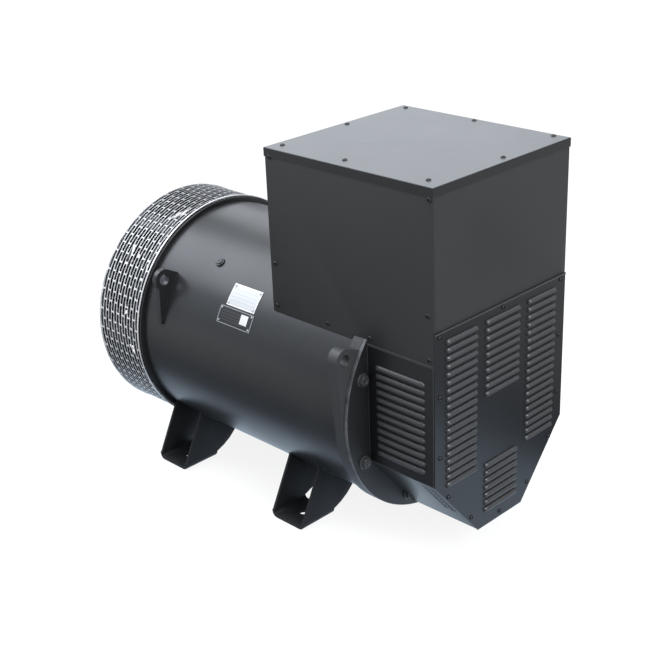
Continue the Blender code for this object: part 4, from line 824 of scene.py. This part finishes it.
# %% End rings and lifting ears
ear_reach, ear_round, ear_hole, ear_thick = 0.033, 0.029, 0.015, 0.015
head_round = ear_round - 0.00016
ring_radius, ring_bore, ring_angle = 0.319, 0.262, 0.50615
drive_ear_x, drive_ear_angle = barrel_x + 0.066, radians(34)
shoulder_sweep = radians(6)


def ear_shape(base, angle, side, tail_sweep, tail_end, head_sweep, steps=22):
    """The ear's inner arc, from shoulder to tail, then its outer line back to the shoulder."""
    eye = base + ear_reach
    middle = (-eye * cos(angle), eye * sin(angle))
    tail, first = angle - tail_sweep, radians(95) - angle + head_sweep
    inner = mirrored(arc(base, angle + shoulder_sweep, tail, 12))
    outer = arc(head_round, first, first - head_sweep, steps, *middle)
    if tail_end:
        blunt = base + tail_end
        outer.insert(0, (-blunt * cos(tail), blunt * sin(tail)))
    loops = (inner, outer, ring_of(ear_hole, 32, *middle))
    return loops if side < 0 else [mirrored(loop) for loop in loops]


def ring_with_ears(radius, bore, angle):
    """The ears of this ring leave it at a tangent, so they have no tail of their own."""
    sweep = acos((radius - ear_round) / (radius + ear_reach))
    left, right = (ear_shape(radius, angle, side, sweep, 0, radians(85) + sweep)
                   for side in (-1, 1))
    shoulder, tail = angle + shoulder_sweep, angle - sweep
    rim = (arc(radius, shoulder, pi - shoulder, 60) + left[1][::-1]
           + arc(radius, pi - tail, tau + tail, 110) + right[1])
    return [rim, ring_of(bore), left[2], right[2]]


body("louvre_end_ring", cut_plate(ring_with_ears(ring_radius, ring_bore, ring_angle), ring_x,
                                  ring_face), ring_black, 0.0022,
     stands_for=("non_drive_end_ring",))
body("drive_ring", turned_shape([
    (-0.41085, 0.296), (-0.41085, 0.3220), (-0.40935, 0.3235), (-0.39235, 0.3235),
    (-0.39085, 0.3220), (-0.39085, 0.296)]), satin_black, stands_for=("drive_end_ring",))
for side_name, side in sides:
    inner, outer, hole = ear_shape(barrel_radius + seat, drive_ear_angle, side, radians(21),
                                   0.006, radians(165))
    body("drive_ear_" + side_name,
         cut_plate([inner + outer, hole], drive_ear_x, drive_ear_x + ear_thick), satin_black,
         0.002, stands_for=("drive_end_lifting_ear_" + side_name,))
print("two rings and four lifting ears")

# %% [markdown]
# The bracket that carries the bearing is a casting: a bolted rim, six arms and a hub.
# Its rim stands just proud of the ring, and a pale painted highlight on its outermost
# millimetres draws the thin line of light along its edge.

# %% Bearing bracket
rim_bore, bearing_bore, hub_wall, hub_half = 0.236, 0.095 + 0.012 + seat, 0.018, 0.035
arm_start, arm_end = 0.022, 0.0154


def bracket_casting():
    mesh = cut_plate([ring_of(ring_radius), ring_of(rim_bore)], ring_face + seat, bracket_face)
    hub, middle, face = bearing_bore + hub_wall, bracket_face - 0.010, bracket_face - 0.0015
    turned_shape([(middle - hub_half, bearing_bore), (middle - hub_half, hub - 0.002),
                  (middle - hub_half + 0.002, hub), (middle + hub_half - 0.002, hub),
                  (middle + hub_half, hub - 0.002), (middle + hub_half, bearing_bore)], 120, mesh)
    for turn in bolt_turns(6):
        loop = [(u * cos(turn) - v * sin(turn), u * sin(turn) + v * cos(turn)) for u, v in
                ((hub - 0.009, -arm_start), (0.259, -arm_end), (0.259, arm_end),
                 (hub - 0.009, arm_start))]
        cut_plate([loop], face - 0.016, face, mesh=mesh)
    return mesh


body("bearing_bracket", bracket_casting(), bracket_black, 0.0017,
     stands_for=("non_drive_end_bracket",))
fastened("bracket_bolts", hexagon, bolt_circle(bracket_face, 0.286, 8, 1), dull_screw, seed=5)

# %% [markdown]
# The adaptor bolts to the engine's flywheel housing: two flanges with six arms between.
# A spigot on the front flange centres it in the housing, and twelve holes round it match
# the housing's bolt circle. Twelve more bolts hold its rear flange to the barrel.

# %% Drive-end adaptor
adaptor_x, adaptor_back, rear_thick, rear_bore = -0.57415, -0.41115, 0.014, 0.296
flange_radius, mouth_radius, spigot_radius = 0.32385, 0.2600, 0.2921


def adaptor_casting():
    holes = [ring_of(0.00675, 16, 0.30956 * cos(turn), 0.30956 * sin(turn))
             for turn in bolt_turns(12)]
    mesh = cut_plate([ring_of(flange_radius), ring_of(mouth_radius)] + holes, adaptor_x,
                     adaptor_x + 0.018)
    turned_shape([(adaptor_x - 0.005, mouth_radius), (adaptor_x - 0.005, spigot_radius - 0.001),
                  (adaptor_x - 0.004, spigot_radius), (adaptor_x + 0.004, spigot_radius),
                  (adaptor_x + 0.004, mouth_radius)], 160, mesh)
    turned_shape([(adaptor_back - rear_thick, rear_bore), (adaptor_back - rear_thick, flange_radius),
                  (adaptor_back, flange_radius), (adaptor_back, rear_bore)], 160, mesh)
    outer = flange_radius - 0.0015
    half = asin(0.023 / outer)
    for k in range(6):
        turn = tau * k / 6
        loop = (arc(outer, turn - half, turn + half, 6)
                + arc(outer - 0.016, turn + half, turn - half, 6))
        cut_plate([loop], adaptor_x + 0.007, adaptor_back - 0.007, mesh=mesh)
    return mesh


body("engine_adaptor", adaptor_casting(), cast_black, 0.0015, stands_for=("drive_end_adaptor",))
fastened("adaptor_bolts", small_hexagon, bolt_circle(adaptor_back - rear_thick, 0.3105, 12, -1),
         dull_screw, seed=7)

# %% [markdown]
# The feet are plates bent into a channel and welded under the barrel. Each web runs well
# in under the barrel and swells on its way down, so the rear edges of the copied solids
# are drawn out along the barrel and turned from hollow to full.

# %% Feet
web_reach = barrel_radius + seat
web_outer, web_inner, web_under = radians(43), radians(62), radians(71)
foot_back, foot_low = barrel_radius - 0.012 - 0.115, 0.016 - shaft_line
full_knee = (0.128, -0.337)
feet = [("foot_%s_%s" % (end_name, side_name), side)
        for end_name in ("non_drive_end", "drive_end") for side_name, side in sides]


def bent_between(start, knee, end, share):
    return [(1 - share) ** 2 * a + 2 * share * (1 - share) * b + share ** 2 * c
            for a, b, c in zip(start, knee, end)]


def on_barrel(angle):
    return (web_reach * cos(angle), -web_reach * sin(angle))


def foot_body(name, side):
    mesh = solid_copy(name)
    bmesh.ops.dissolve_limit(mesh, angle_limit=flat_turn, verts=mesh.verts, edges=mesh.edges)
    top, end = on_barrel(web_inner), (foot_back, foot_low)
    hollow_knee = (foot_back, top[1] - (shaft_line + top[1]) / 2)
    drawn_out = [(bent_between(top, hollow_knee, end, k / 4),
                  bent_between(on_barrel(web_under), full_knee, end, k / 4)) for k in (1, 2, 3)]
    moved = 0
    for vert in mesh.verts:
        y, z = abs(vert.co.y), vert.co.z - shaft_line
        if abs(hypot(y, z) - web_reach) < 0.0003:
            share = (atan2(-z, y) - web_outer) / (web_inner - web_outer)
            place = on_barrel(web_outer + share * (web_under - web_outer))
        else:
            place = next((new for old, new in drawn_out
                          if hypot(y - old[0], z - old[1]) < 0.0006), None)
        if place:
            vert.co.y, vert.co.z = side * place[0], place[1] + shaft_line
            moved += 1
    print(name, moved, "rear edge points drawn out")
    return body(name + "_dressed", mesh, foot_black, 0.0014, stands_for=(name,))


for name, side in feet:
    foot_body(name, side)

# %% [markdown]
# Feet and ears are welded to the barrel. A bead is a thin tube that follows the barrel
# along the joint and swells and shrinks a little, as the welder's hand moved.

# %% Weld beads
bead_gap = 0.0006


def bead(mesh, x, first, last, side, radius=0.0026, steps=46, around=8):
    rings = []
    for k in range(steps + 1):
        angle = first + (last - first) * k / steps
        outward = Vector((0, side * cos(angle), sin(angle)))
        middle = Vector((x, 0, shaft_line)) + outward * (barrel_radius + 0.0004)
        swell = radius * (1 + 0.13 * sin(2.3 * k) + 0.05 * sin(0.7 * k + x * 90))
        swell *= min(1.0, 0.35 + min(k, steps - k) * 0.4)
        rings.append([mesh.verts.new(middle + outward * v + Vector((u, 0, 0)))
                      for u, v in ring_of(swell, around)])
    for here, there in zip(rings, rings[1:]):
        walled(mesh, here, there)
    mesh.faces.new(rings[0])
    mesh.faces.new(rings[-1])


welds = bmesh.new()
for name, side in feet:
    low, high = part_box(name)
    for x in (low[0] - bead_gap, high[0] + bead_gap):
        bead(welds, x, -web_outer, -web_under, side)
for name, side in sides:
    for x in (drive_ear_x - bead_gap, drive_ear_x + ear_thick + bead_gap):
        bead(welds, x, drive_ear_angle + radians(5), drive_ear_angle - radians(20), side, 0.0021)
body("weld_beads", welds, foot_black, slot="black_satin_paint", sharp=80)
print("twelve weld beads")

# %% [markdown]
# The outlet screen is a zinc-plated sheet, punched with slots like laid bricks and rolled
# round the adaptor. One cell holds one slot. The recipe lays the cells out flat, shifts
# every other row by half a brick, rolls the sheet up and gives it its thickness. Where the
# two fixing screws go, the cell is left without its slot.

# %% Outlet screen
screen_radius, screen_sheet = 0.32594, 0.0012
screen_x, screen_length, screen_edge = -0.57215, 0.1753, 0.0036
screen_round, screen_rows = 36, 14
row_pitch = (screen_length - 2 * screen_edge) / screen_rows
cell_length = tau * screen_radius / screen_round


def screen_cell(name, slotted):
    half, tie, tall = cell_length / 2, 0.0019, row_pitch / 2
    across = [-half, -half + tie, -half / 2, -tie, 0, tie, half / 2, half - tie, half]
    loops = [[(u, -tall) for u in across] + [(u, tall) for u in reversed(across)]]
    if slotted:
        reach, r = half - tie, row_pitch * 0.38
        right = [(reach - r * 0.62, -r), (reach - r * 0.14, -r * 0.66), (reach, 0),
                 (reach - r * 0.14, r * 0.66), (reach - r * 0.62, r)]
        middle = [half / 2, 0, -half / 2]
        loops.append(right + [(u, r) for u in middle] + [(-u, -v) for u, v in right]
                     + [(-u, -r) for u in middle])
    mesh = bmesh.new()
    verts = [mesh.verts.new((u, v, 0)) for loop in loops for u, v in loop]
    for triangle in tessellate_polygon([[Vector((u, v, 0)) for u, v in loop] for loop in loops]):
        face = mesh.faces.new([verts[k] for k in triangle])
        face.normal_update()
        if face.normal.z < 0:
            face.normal_flip()
    return head_object(name, mesh)


def screen_recipe():
    recipe = Recipe("rolled_screen", Cell="Object", Blank="Object", Round="Int", Rows="Int",
                    Cell_Length="Float", Row_Pitch="Float", Radius="Float", Start="Float",
                    Patch_Turn="Float", Patch_First="Float", Patch_Second="Float",
                    Thickness="Float", Finish="Material")
    given = recipe.given
    rows_before = given("Rows") - 1.0
    grid = recipe.node("GeometryNodeMeshGrid", None, {
        "Size X": given("Cell_Length") * (given("Round") - 1.0),
        "Size Y": given("Row_Pitch") * rows_before,
        "Vertices X": given("Round"), "Vertices Y": given("Rows")})
    x, y, z = recipe.where()
    row = (y / given("Row_Pitch") + rows_before * 0.5).math("ROUND")
    shifted = row.math("MODULO", 2.0) * given("Cell_Length") * 0.5
    points = recipe.node("GeometryNodeSetPosition", None, {
        "Geometry": grid, "Offset": recipe.joined(shifted, 0.0, 0.0)})
    near_row = row.math("COMPARE", given("Patch_First"), 0.25).math(
        "MAXIMUM", row.math("COMPARE", given("Patch_Second"), 0.25))
    patch = near_row * x.near(given("Patch_Turn") * given("Radius"), given("Cell_Length") * 0.5)
    cells = [recipe.node("GeometryNodeInstanceOnPoints", None, {
        "Points": points, "Selection": chosen, "Instance": recipe.shape(label)})
        for label, chosen in (("Cell", 1.0 - patch), ("Blank", patch))]
    flat = recipe.node("GeometryNodeRealizeInstances", None, {"Geometry": recipe.together(*cells)})
    turn, reach = x / given("Radius"), z + given("Radius")
    along = y + given("Row_Pitch") * rows_before * 0.5 + given("Start")
    rolled = recipe.node("GeometryNodeSetPosition", None, {
        "Geometry": flat, "Position": recipe.joined(
            along, 0.0 - reach * turn.math("COSINE"), reach * turn.math("SINE") + shaft_line)})
    return recipe.ends_in(recipe.thickened(recipe.merged(rolled, 0.0002), given("Thickness")))


patch_turn, patch_rows = radians(38), (5, 12)
first_row = screen_x + screen_edge + row_pitch / 2
screen = screen_recipe().cook("rolled_screen", bmesh.new(), {
    "Cell": screen_cell("slotted_cell", True), "Blank": screen_cell("blank_cell", False),
    "Round": screen_round, "Rows": screen_rows, "Cell_Length": cell_length,
    "Row_Pitch": row_pitch, "Radius": screen_radius, "Start": first_row,
    "Patch_Turn": patch_turn, "Patch_First": float(patch_rows[0]),
    "Patch_Second": float(patch_rows[1]), "Thickness": screen_sheet, "Finish": screen_zinc})
entered(screen, stands_for=("outlet_screen",))
print("screen", screen_round * screen_rows, "cells,", len(screen.data.polygons), "faces")
for name, x in (("front", screen_x), ("rear", screen_x + screen_length - screen_edge)):
    body("screen_hem_" + name, turned_shape([(x + along, screen_radius + out) for along, out in (
        (0, 0), (0, 0.0020), (0.0006, 0.0026), (screen_edge - 0.0006, 0.0026),
        (screen_edge, 0.0020), (screen_edge, 0))], 180), zinc, slot="zinc_sheet")
screen_screws = [on_round(first_row + row_pitch * row, screen_radius + screen_sheet, turn)
                 for row, turn in zip(patch_rows, (patch_turn - radians(0.6),
                                                   patch_turn + radians(0.8)))]
fastened("screen_screws", rivet, screen_screws, black_screw, seed=4)

# %% [markdown]
# The terminal box is folded sheet over a welded frame. The side, end and rear panels are
# copies of their solids with the small radius that a fold leaves, and domed black screws
# hold them down.

# %% Terminal box panels and screws
box_back, box_face, half_width = 0.07275, 0.59075, 0.245
box_length = box_face - box_back
for name in ("side_left", "side_right", "end_panel", "rear_panel"):
    softened("terminal_box_" + name, 0.0006, panel_black)
softened("gland_plate", 0.0008, aluminium)
side_screw_spots = [(0.03, 0.590), (0.98, 0.584), (0.03, 0.323), (0.97, 0.317), (0.03, 0.213),
                    (0.366, 0.213), (0.629, 0.213), (0.976, 0.211)]
rear_screw_spots = [(-0.23, 0.59), (0, 0.59), (0.23, 0.59), (-0.23, 0.40), (0.23, 0.40),
                    (-0.23, 0.235), (0.23, 0.235)]
panel_screws = [((box_back + share * box_length, side * half_width, z + shaft_line), (0, side, 0))
                for share, z in side_screw_spots for side in (-1, 1)]
panel_screws += [(facing_x(y, z, box_back), (-1, 0, 0)) for y, z in rear_screw_spots]
fastened("panel_screws", button, panel_screws, black_screw, seed=2)
gland_x, gland_z = box_back - seat - 0.003, 0.785
gland_screws = [((gland_x, y, gland_z + z), (-1, 0, 0)) for y in (-0.139, -0.0463, 0.0463, 0.139)
                for z in (-0.059, 0.059)]
fastened("gland_plate_screws", button, gland_screws, steel, seed=8, slot="bright_steel")

# %% [markdown]
# The lid is a folded tray. Two shallow creases from corner to corner lift its middle by
# 4 mm and keep it from drumming, so each of its four fields mirrors the room a little
# differently. A grid of rings carries the crease, the bent rim and the skirt in one mesh.
# Its upward faces wear a lighter grey copy of the black coat as painted sheen, and the rest a darker
# copy as painted shade.

# %% Lid
lid_edge, lid_top = 0.982, 0.986
lid_lap, lid_skirt, rim_bend = sheet + seat, 0.022, 0.0025


def lid_tray():
    x0, x1 = box_back - lid_lap, box_face + lid_lap
    half, bottom = half_width + lid_lap, lid_edge - lid_skirt
    mesh = bmesh.new()

    def ring(inset, z):
        return [mesh.verts.new((x, y, z)) for x, y in (
            (x0 + inset, inset - half), (x1 - inset, inset - half),
            (x1 - inset, half - inset), (x0 + inset, half - inset))]

    bends = [(rim_bend * (1 - cos(turn)), lid_edge - rim_bend * (1 - sin(turn)))
             for turn in (pi / 8 * k for k in range(5))]
    rings = [ring(inset, z) for inset, z in [(sheet, lid_edge - sheet), (sheet, bottom),
                                             (0.0, bottom)] + bends]
    for here, there in zip(rings, rings[1:]):
        walled(mesh, here, there)
    for rim, z in ((rings[-1], lid_top), (rings[0], lid_top - sheet)):
        peak = mesh.verts.new(((x0 + x1) / 2, 0, z))
        for k in range(4):
            mesh.faces.new((rim[k], rim[(k + 1) % 4], peak))
    return mesh


lid = object_of("creased_lid", turned_out(lid_tray()), louvre_painted_shade, lid_painted_sheen)
lid.data.shade_flat()
# painted sheen and shade: faces turned up take the lighter lid coat, the rest the darker louvre coat
for polygon in lid.data.polygons:
    polygon.material_index = int(polygon.normal.z > 0.6)
entered(lid, stands_for=("terminal_box_lid",))
lid_screw_shares = [(0.05, 0.07), (0.03, 0.54), (0.05, 0.96), (0.475, 0.97), (0.93, 0.97),
                    (0.96, 0.54), (0.92, 0.07), (0.444, 0.07)]


def lid_height(along, across):
    """The lid's four fields rise evenly from the rim to the middle."""
    return lid_edge + (lid_top - lid_edge) * (1 - max(abs(2 * along - 1), abs(2 * across - 1)))


lid_screws = [((box_back + along * box_length, half_width * (2 * across - 1),
                lid_height(along, across)), (0, 0, 1)) for along, across in lid_screw_shares]
fastened("lid_screws", button, lid_screws, black_screw, seed=1)

# %% [markdown]
# A louvre is lanced and pushed out of the sheet in one stroke: a hood with rounded ends
# that is open underneath. The recipe takes a flat grid, lifts it by a rule of its place,
# and sets one on every point. Each length of louvre is one use of the recipe.

# %% Louvre hoods
louvre_tall, louvre_rise, louvre_wall, louvre_pitch = 0.0126, 0.0069, -0.0009, 0.0203


def louvre_recipe():
    recipe = Recipe("louvre_hoods", Length="Float", Tall="Float", Rise="Float", Wall="Float",
                    Finish="Material")
    given = recipe.given
    flat = recipe.node("GeometryNodeMeshGrid", None, {
        "Size X": 1.0, "Size Y": 1.0, "Vertices X": 15, "Vertices Y": 7})
    x, y, z = recipe.where()
    side = x * 2.0
    # the columns crowd toward the ends, where the hood is round
    swept = (side * (pi / 2)).math("SINE") * 0.35 + side * 0.65
    u = swept * given("Length") * 0.5
    end = ((given("Length") * 0.5 - u.math("ABSOLUTE")) / (given("Rise") * 1.3)).clamped()
    rounded = (end * (2.0 - end)).math("SQRT")
    v = y + 0.5
    # the hood bulges most a third of the way up and curls back in at its mouth
    crown = ((v * 0.74 + 0.25) * pi).math("SINE").clamped().math("POWER", 0.75)
    top = given("Tall") * (rounded * 0.35 + 0.65)
    shaped = recipe.node("GeometryNodeSetPosition", None, {
        "Geometry": flat, "Position": recipe.joined(
            u, v * top, given("Rise") * rounded * crown)})
    upright = recipe.node("FunctionNodeAxesToRotation", {
        "primary_axis": "Z", "secondary_axis": "Y"}, {
        "Primary Axis": recipe.noted("outward"), "Secondary Axis": recipe.noted("upward")})
    hoods = recipe.node("GeometryNodeInstanceOnPoints", None, {
        "Points": given("Geometry"), "Instance": recipe.thickened(shaped, given("Wall")),
        "Rotation": upright})
    return recipe.ends_in(recipe.node("GeometryNodeSetShadeSmooth", None, {"Geometry": hoods}))


louvre_hoods = louvre_recipe()


def louvred(name, spots, length, outward, place, level):
    """Spots are (u, v) of each hood's lower middle on its sheet, whose face is at a level."""
    mesh = bmesh.new()
    layers = [mesh.verts.layers.float_vector.new(key) for key in ("outward", "upward")]
    for u, v in spots:
        vert = mesh.verts.new(place(u, v, level))
        vert[layers[0]], vert[layers[1]] = Vector(outward), Vector((0, 0, 1))
    thing = louvre_hoods.cook(name, mesh, {
        "Length": length, "Tall": louvre_tall, "Rise": louvre_rise, "Wall": louvre_wall,
        "Finish": hood_painted_highlight})
    print(name, len(spots), "hoods,", len(thing.data.polygons), "faces")
    return entered(thing, slot="black_textured_coat")


def slots_under(spots, length, tall=0.0062):
    """The openings below and behind the hoods, with clipped ends."""
    half, clip = length / 2 - 0.0012, tall * 0.35
    return [[(u - half, v + clip), (u - half + clip, v - 0.0002), (u + half - clip, v - 0.0002),
             (u + half, v + clip), (u + half, v + tall - clip), (u + half - clip, v + tall),
             (u - half + clip, v + tall), (u - half, v + tall - clip)] for u, v in spots]


def strip(u0, u1, v0, v1):
    return [(u0, v0), (u1, v0), (u1, v1), (u0, v1)]


print("louvre recipe has", len(louvre_hoods.labels), "inputs")

# %% [markdown]
# The end plate has two long columns of louvres and a short one above and below a blank
# square, where another build of the machine has its permanent-magnet cover.

# %% Louvred end plate
cover_face, base_half = 0.59255, 0.086
plate_base, plate_shoulder, plate_top = -0.2995, -0.112, 0.276
column_offset, upper_start, lower_start = 0.1502, 0.247 - 0.00725, -0.129 - 0.00725
long_louvre, short_louvre, side_louvre = 0.114, 0.132, 0.152


def hood_rows(start, count):
    return [start - louvre_pitch * k for k in range(count)]


long_spots = [(side * column_offset, v) for v in hood_rows(upper_start, 19) for side in (-1, 1)]
short_spots = [(0.0, v) for v in hood_rows(upper_start, 10) + hood_rows(lower_start, 7)]
end_outline = [(-base_half, plate_base), (base_half, plate_base), (half_width, plate_shoulder),
               (half_width, plate_top), (-half_width, plate_top), (-half_width, plate_shoulder)]
end_loops = ([end_outline] + slots_under(long_spots, long_louvre)
             + slots_under(short_spots, short_louvre))
body("louvred_end_plate", cut_plate(end_loops, cover_face - sheet, cover_face), louvre_painted_shade,
     0.0005, stands_for=("inlet_end_plate",))
louvred("end_louvres_long", long_spots, long_louvre, (1, 0, 0), facing_x, cover_face)
louvred("end_louvres_short", short_spots, short_louvre, (1, 0, 0), facing_x, cover_face)
# painted highlight: the lip wears the lighter hood coat for the bright line along the plate's top
body("end_plate_lip", cut_plate([strip(-half_width, half_width, plate_top - 0.0042, plate_top)],
                                cover_face, cover_face + 0.0026), hood_painted_highlight, 0.0011,
     slot="black_textured_coat", segments=3)
end_screws = [(y, z) for z in (0.263, 0.115, -0.04) for y in (-0.2265, 0.2265)]
end_screws += [(0, 0.264), (-0.1966, -0.156), (0.1966, -0.156), (-0.111, -0.252),
               (0.111, -0.252), (0, -0.286)]
fastened("end_plate_screws", button, [(facing_x(y, z, cover_face), (1, 0, 0))
                                      for y, z in end_screws], black_screw, seed=6)

# %% [markdown]
# The two side panels of the inlet have twelve wide louvres each. The slanted flanks below
# them are one folded tray, with a row of narrow slits along the edge that meets the end
# plate; the slits are thin near-black strips standing just proud of the flank, as painted shade.

# %% Louvred side panels and the folded tray
panel_x0, panel_x1 = bracket_face + seat, box_face - seat
panel_top, panel_low = 0.195 - seat, plate_shoulder + seat
panel_spots = [((panel_x0 + panel_x1) / 2, v) for v in hood_rows(panel_top - 0.0555, 12)]
rim_width, hem_width, hem_low = 0.0026, 0.0030, panel_top + 2 * seat
for side_name, side in sides:

    def side_place(u, v, w, side=side):
        return (u, side * (half_width + w), v + shaft_line)

    outline = strip(panel_x0, panel_x1, panel_low, panel_top)
    inner = strip(panel_x0 + rim_width, panel_x1 - rim_width, panel_low + rim_width,
                  panel_top - rim_width)
    body("louvred_side_" + side_name,
         cut_plate([outline] + slots_under(panel_spots, side_louvre), -sheet, 0, side_place),
         louvre_painted_shade, 0.0005, stands_for=("inlet_side_panel_" + side_name,))
    louvred("side_louvres_" + side_name, panel_spots, side_louvre, (0, side, 0), side_place, 0)
    # painted highlight: the rim and the hem wear the lighter folded-rim coat
    body("side_panel_rim_" + side_name, cut_plate([outline, inner], 0, 0.0010, side_place),
         rim_painted_highlight, 0.0004, slot="black_textured_coat")
    body("box_hem_" + side_name,
         cut_plate([strip(panel_x0, panel_x1, hem_low, hem_low + hem_width)], 0, 0.0012,
                   side_place), rim_painted_highlight, 0.0005, slot="black_textured_coat")
softened("inlet_trough", 0.0005, louvre_painted_shade)
slope = Vector((base_half - half_width, plate_base - plate_shoulder))
down, out = slope.normalized(), Vector((-slope.y, slope.x)).normalized()
slit_length, slit_half, slit_gap, slit_rows = 0.014, 0.0014, 0.022, 9
slits = bmesh.new()
for side in (-1, 1):
    for row in range(slit_rows):
        middle = Vector((half_width, plate_shoulder)) + slope * (0.10 + 0.062 * row)

        def on_flank(u, v, w, side=side, middle=middle):
            spot = middle + down * v + out * w
            return (u, side * spot.x, spot.y + shaft_line)

        for x in (panel_x1 - 0.030, panel_x1 - 0.030 - slit_gap):
            cut_plate([strip(x, x + slit_length, -slit_half, slit_half)], -0.0002, 0.0003,
                      on_flank, slits)
# painted shade: the slits are dark strips on the flank
body("flank_slits", slits, slit_painted_shade, slot="black_textured_coat")
print("side panels, their rims and the tray with its slits")

# %% [markdown]
# Two plates ride on the barrel: a pale one that would carry the figures and a dark one
# below it with a bright square. Here both are left without words, with only faint ruled
# lines, as a plate looks before it is stamped.

# %% Rating plates and their rivets
plate_radius = barrel_radius + seat


def curved_plate(name, x0, x1, low, high, thickness, finish, stands_for, steps=10):
    """A thin plate that follows the barrel between two angles above the horizontal."""
    mesh = bmesh.new()
    uv = mesh.loops.layers.uv.new("face")
    skins = [[[mesh.verts.new((x, -u, v + shaft_line)) for x in (x0, x1)]
              for u, v in arc(r, low, high, steps)]
             for r in (plate_radius, plate_radius + thickness)]
    for skin in skins:
        for k, (here, there) in enumerate(zip(skin, skin[1:])):
            face = mesh.faces.new((here[0], here[1], there[1], there[0]))
            for loop, (u, v) in zip(face.loops, strip(0, 1, k, k + 1)):
                loop[uv].uv = (u, v / steps)
    for end in (0, 1):
        walled(mesh, *([pair[end] for pair in skin] for skin in skins), closed=False)
    for row in (0, steps):
        walled(mesh, *(skin[row] for skin in skins), closed=False)
    entered(object_of(name, turned_out(mesh), finish, sharp=30), "frame", stands_for,
            "aluminium_label")


rivet_spots = []
for name, x0, x1, low, high, thickness, finish, stands_for in (
        ("figures_plate", -0.0915, 0.0125, 33.7, 44.6, 0.0010, ruled_plate, ("rating_plate",)),
        ("lower_plate", -0.1075, 0.0165, 24.5, 32.9, 0.0009, framed_plate, ())):
    curved_plate(name, x0, x1, radians(low), radians(high), thickness, finish, stands_for)
    rivet_spots += [on_round(x, plate_radius + thickness, radians(turn))
                    for x in (x0 + 0.006, x1 - 0.006) for turn in (low + 1.1, high - 1.1)]
fastened("plate_rivets", rivet, rivet_spots, aluminium, seed=9, slot="cast_aluminium")

# %% [markdown]
# A pipe plug closes the hole for the space-heater leads: a welded boss on the barrel with
# a socket-headed plug in it.

# %% Plug on the barrel
boss = head_object("boss_and_plug", lathe_rings([
    (0.0135, -0.0020, 28), (0.0130, 0.0035, 28), (0.0118, 0.0045, 28), (0.0098, 0.0045, 28),
    (0.0094, 0.0030, 28), (0.0090, 0.0032, 28), (0.0086, 0.0062, 28), (0.0076, 0.0070, 28),
    (0.0046, 0.0070, 6), (0.0046, 0.0025, 6)]))
fastened("barrel_plug", boss, [on_round(-0.18445, barrel_radius, radians(51.8))], satin_black)

# %% [markdown]
# Inside, the fan, the coupling and the windings are seen through the screen and the
# windows. Their solids are right in shape, so they keep it, with broken edges where the
# eye can reach them. The coupling discs keep the sharp edges of cut sheet.
# The fan's bare casting is painted dark grey as painted shade of the inside.

# %% Fan, coupling and inner parts
# painted shade: the fan wears the dark grey coat
softened("cooling_fan", 0.0008, fan_painted_shade, "rotor")
softened("coupling_hub", 0.0012, cast_black, "rotor")
softened("coupling_discs", 0.0, steel, "rotor")
softened("bearing_cap", 0.0012, cast_black)
fastened("coupling_nuts", small_hexagon, bolt_circle(-0.57245, 0.108, 8, 1), dull_screw, "rotor",
         seed=11)
print("fan and coupling dressed")
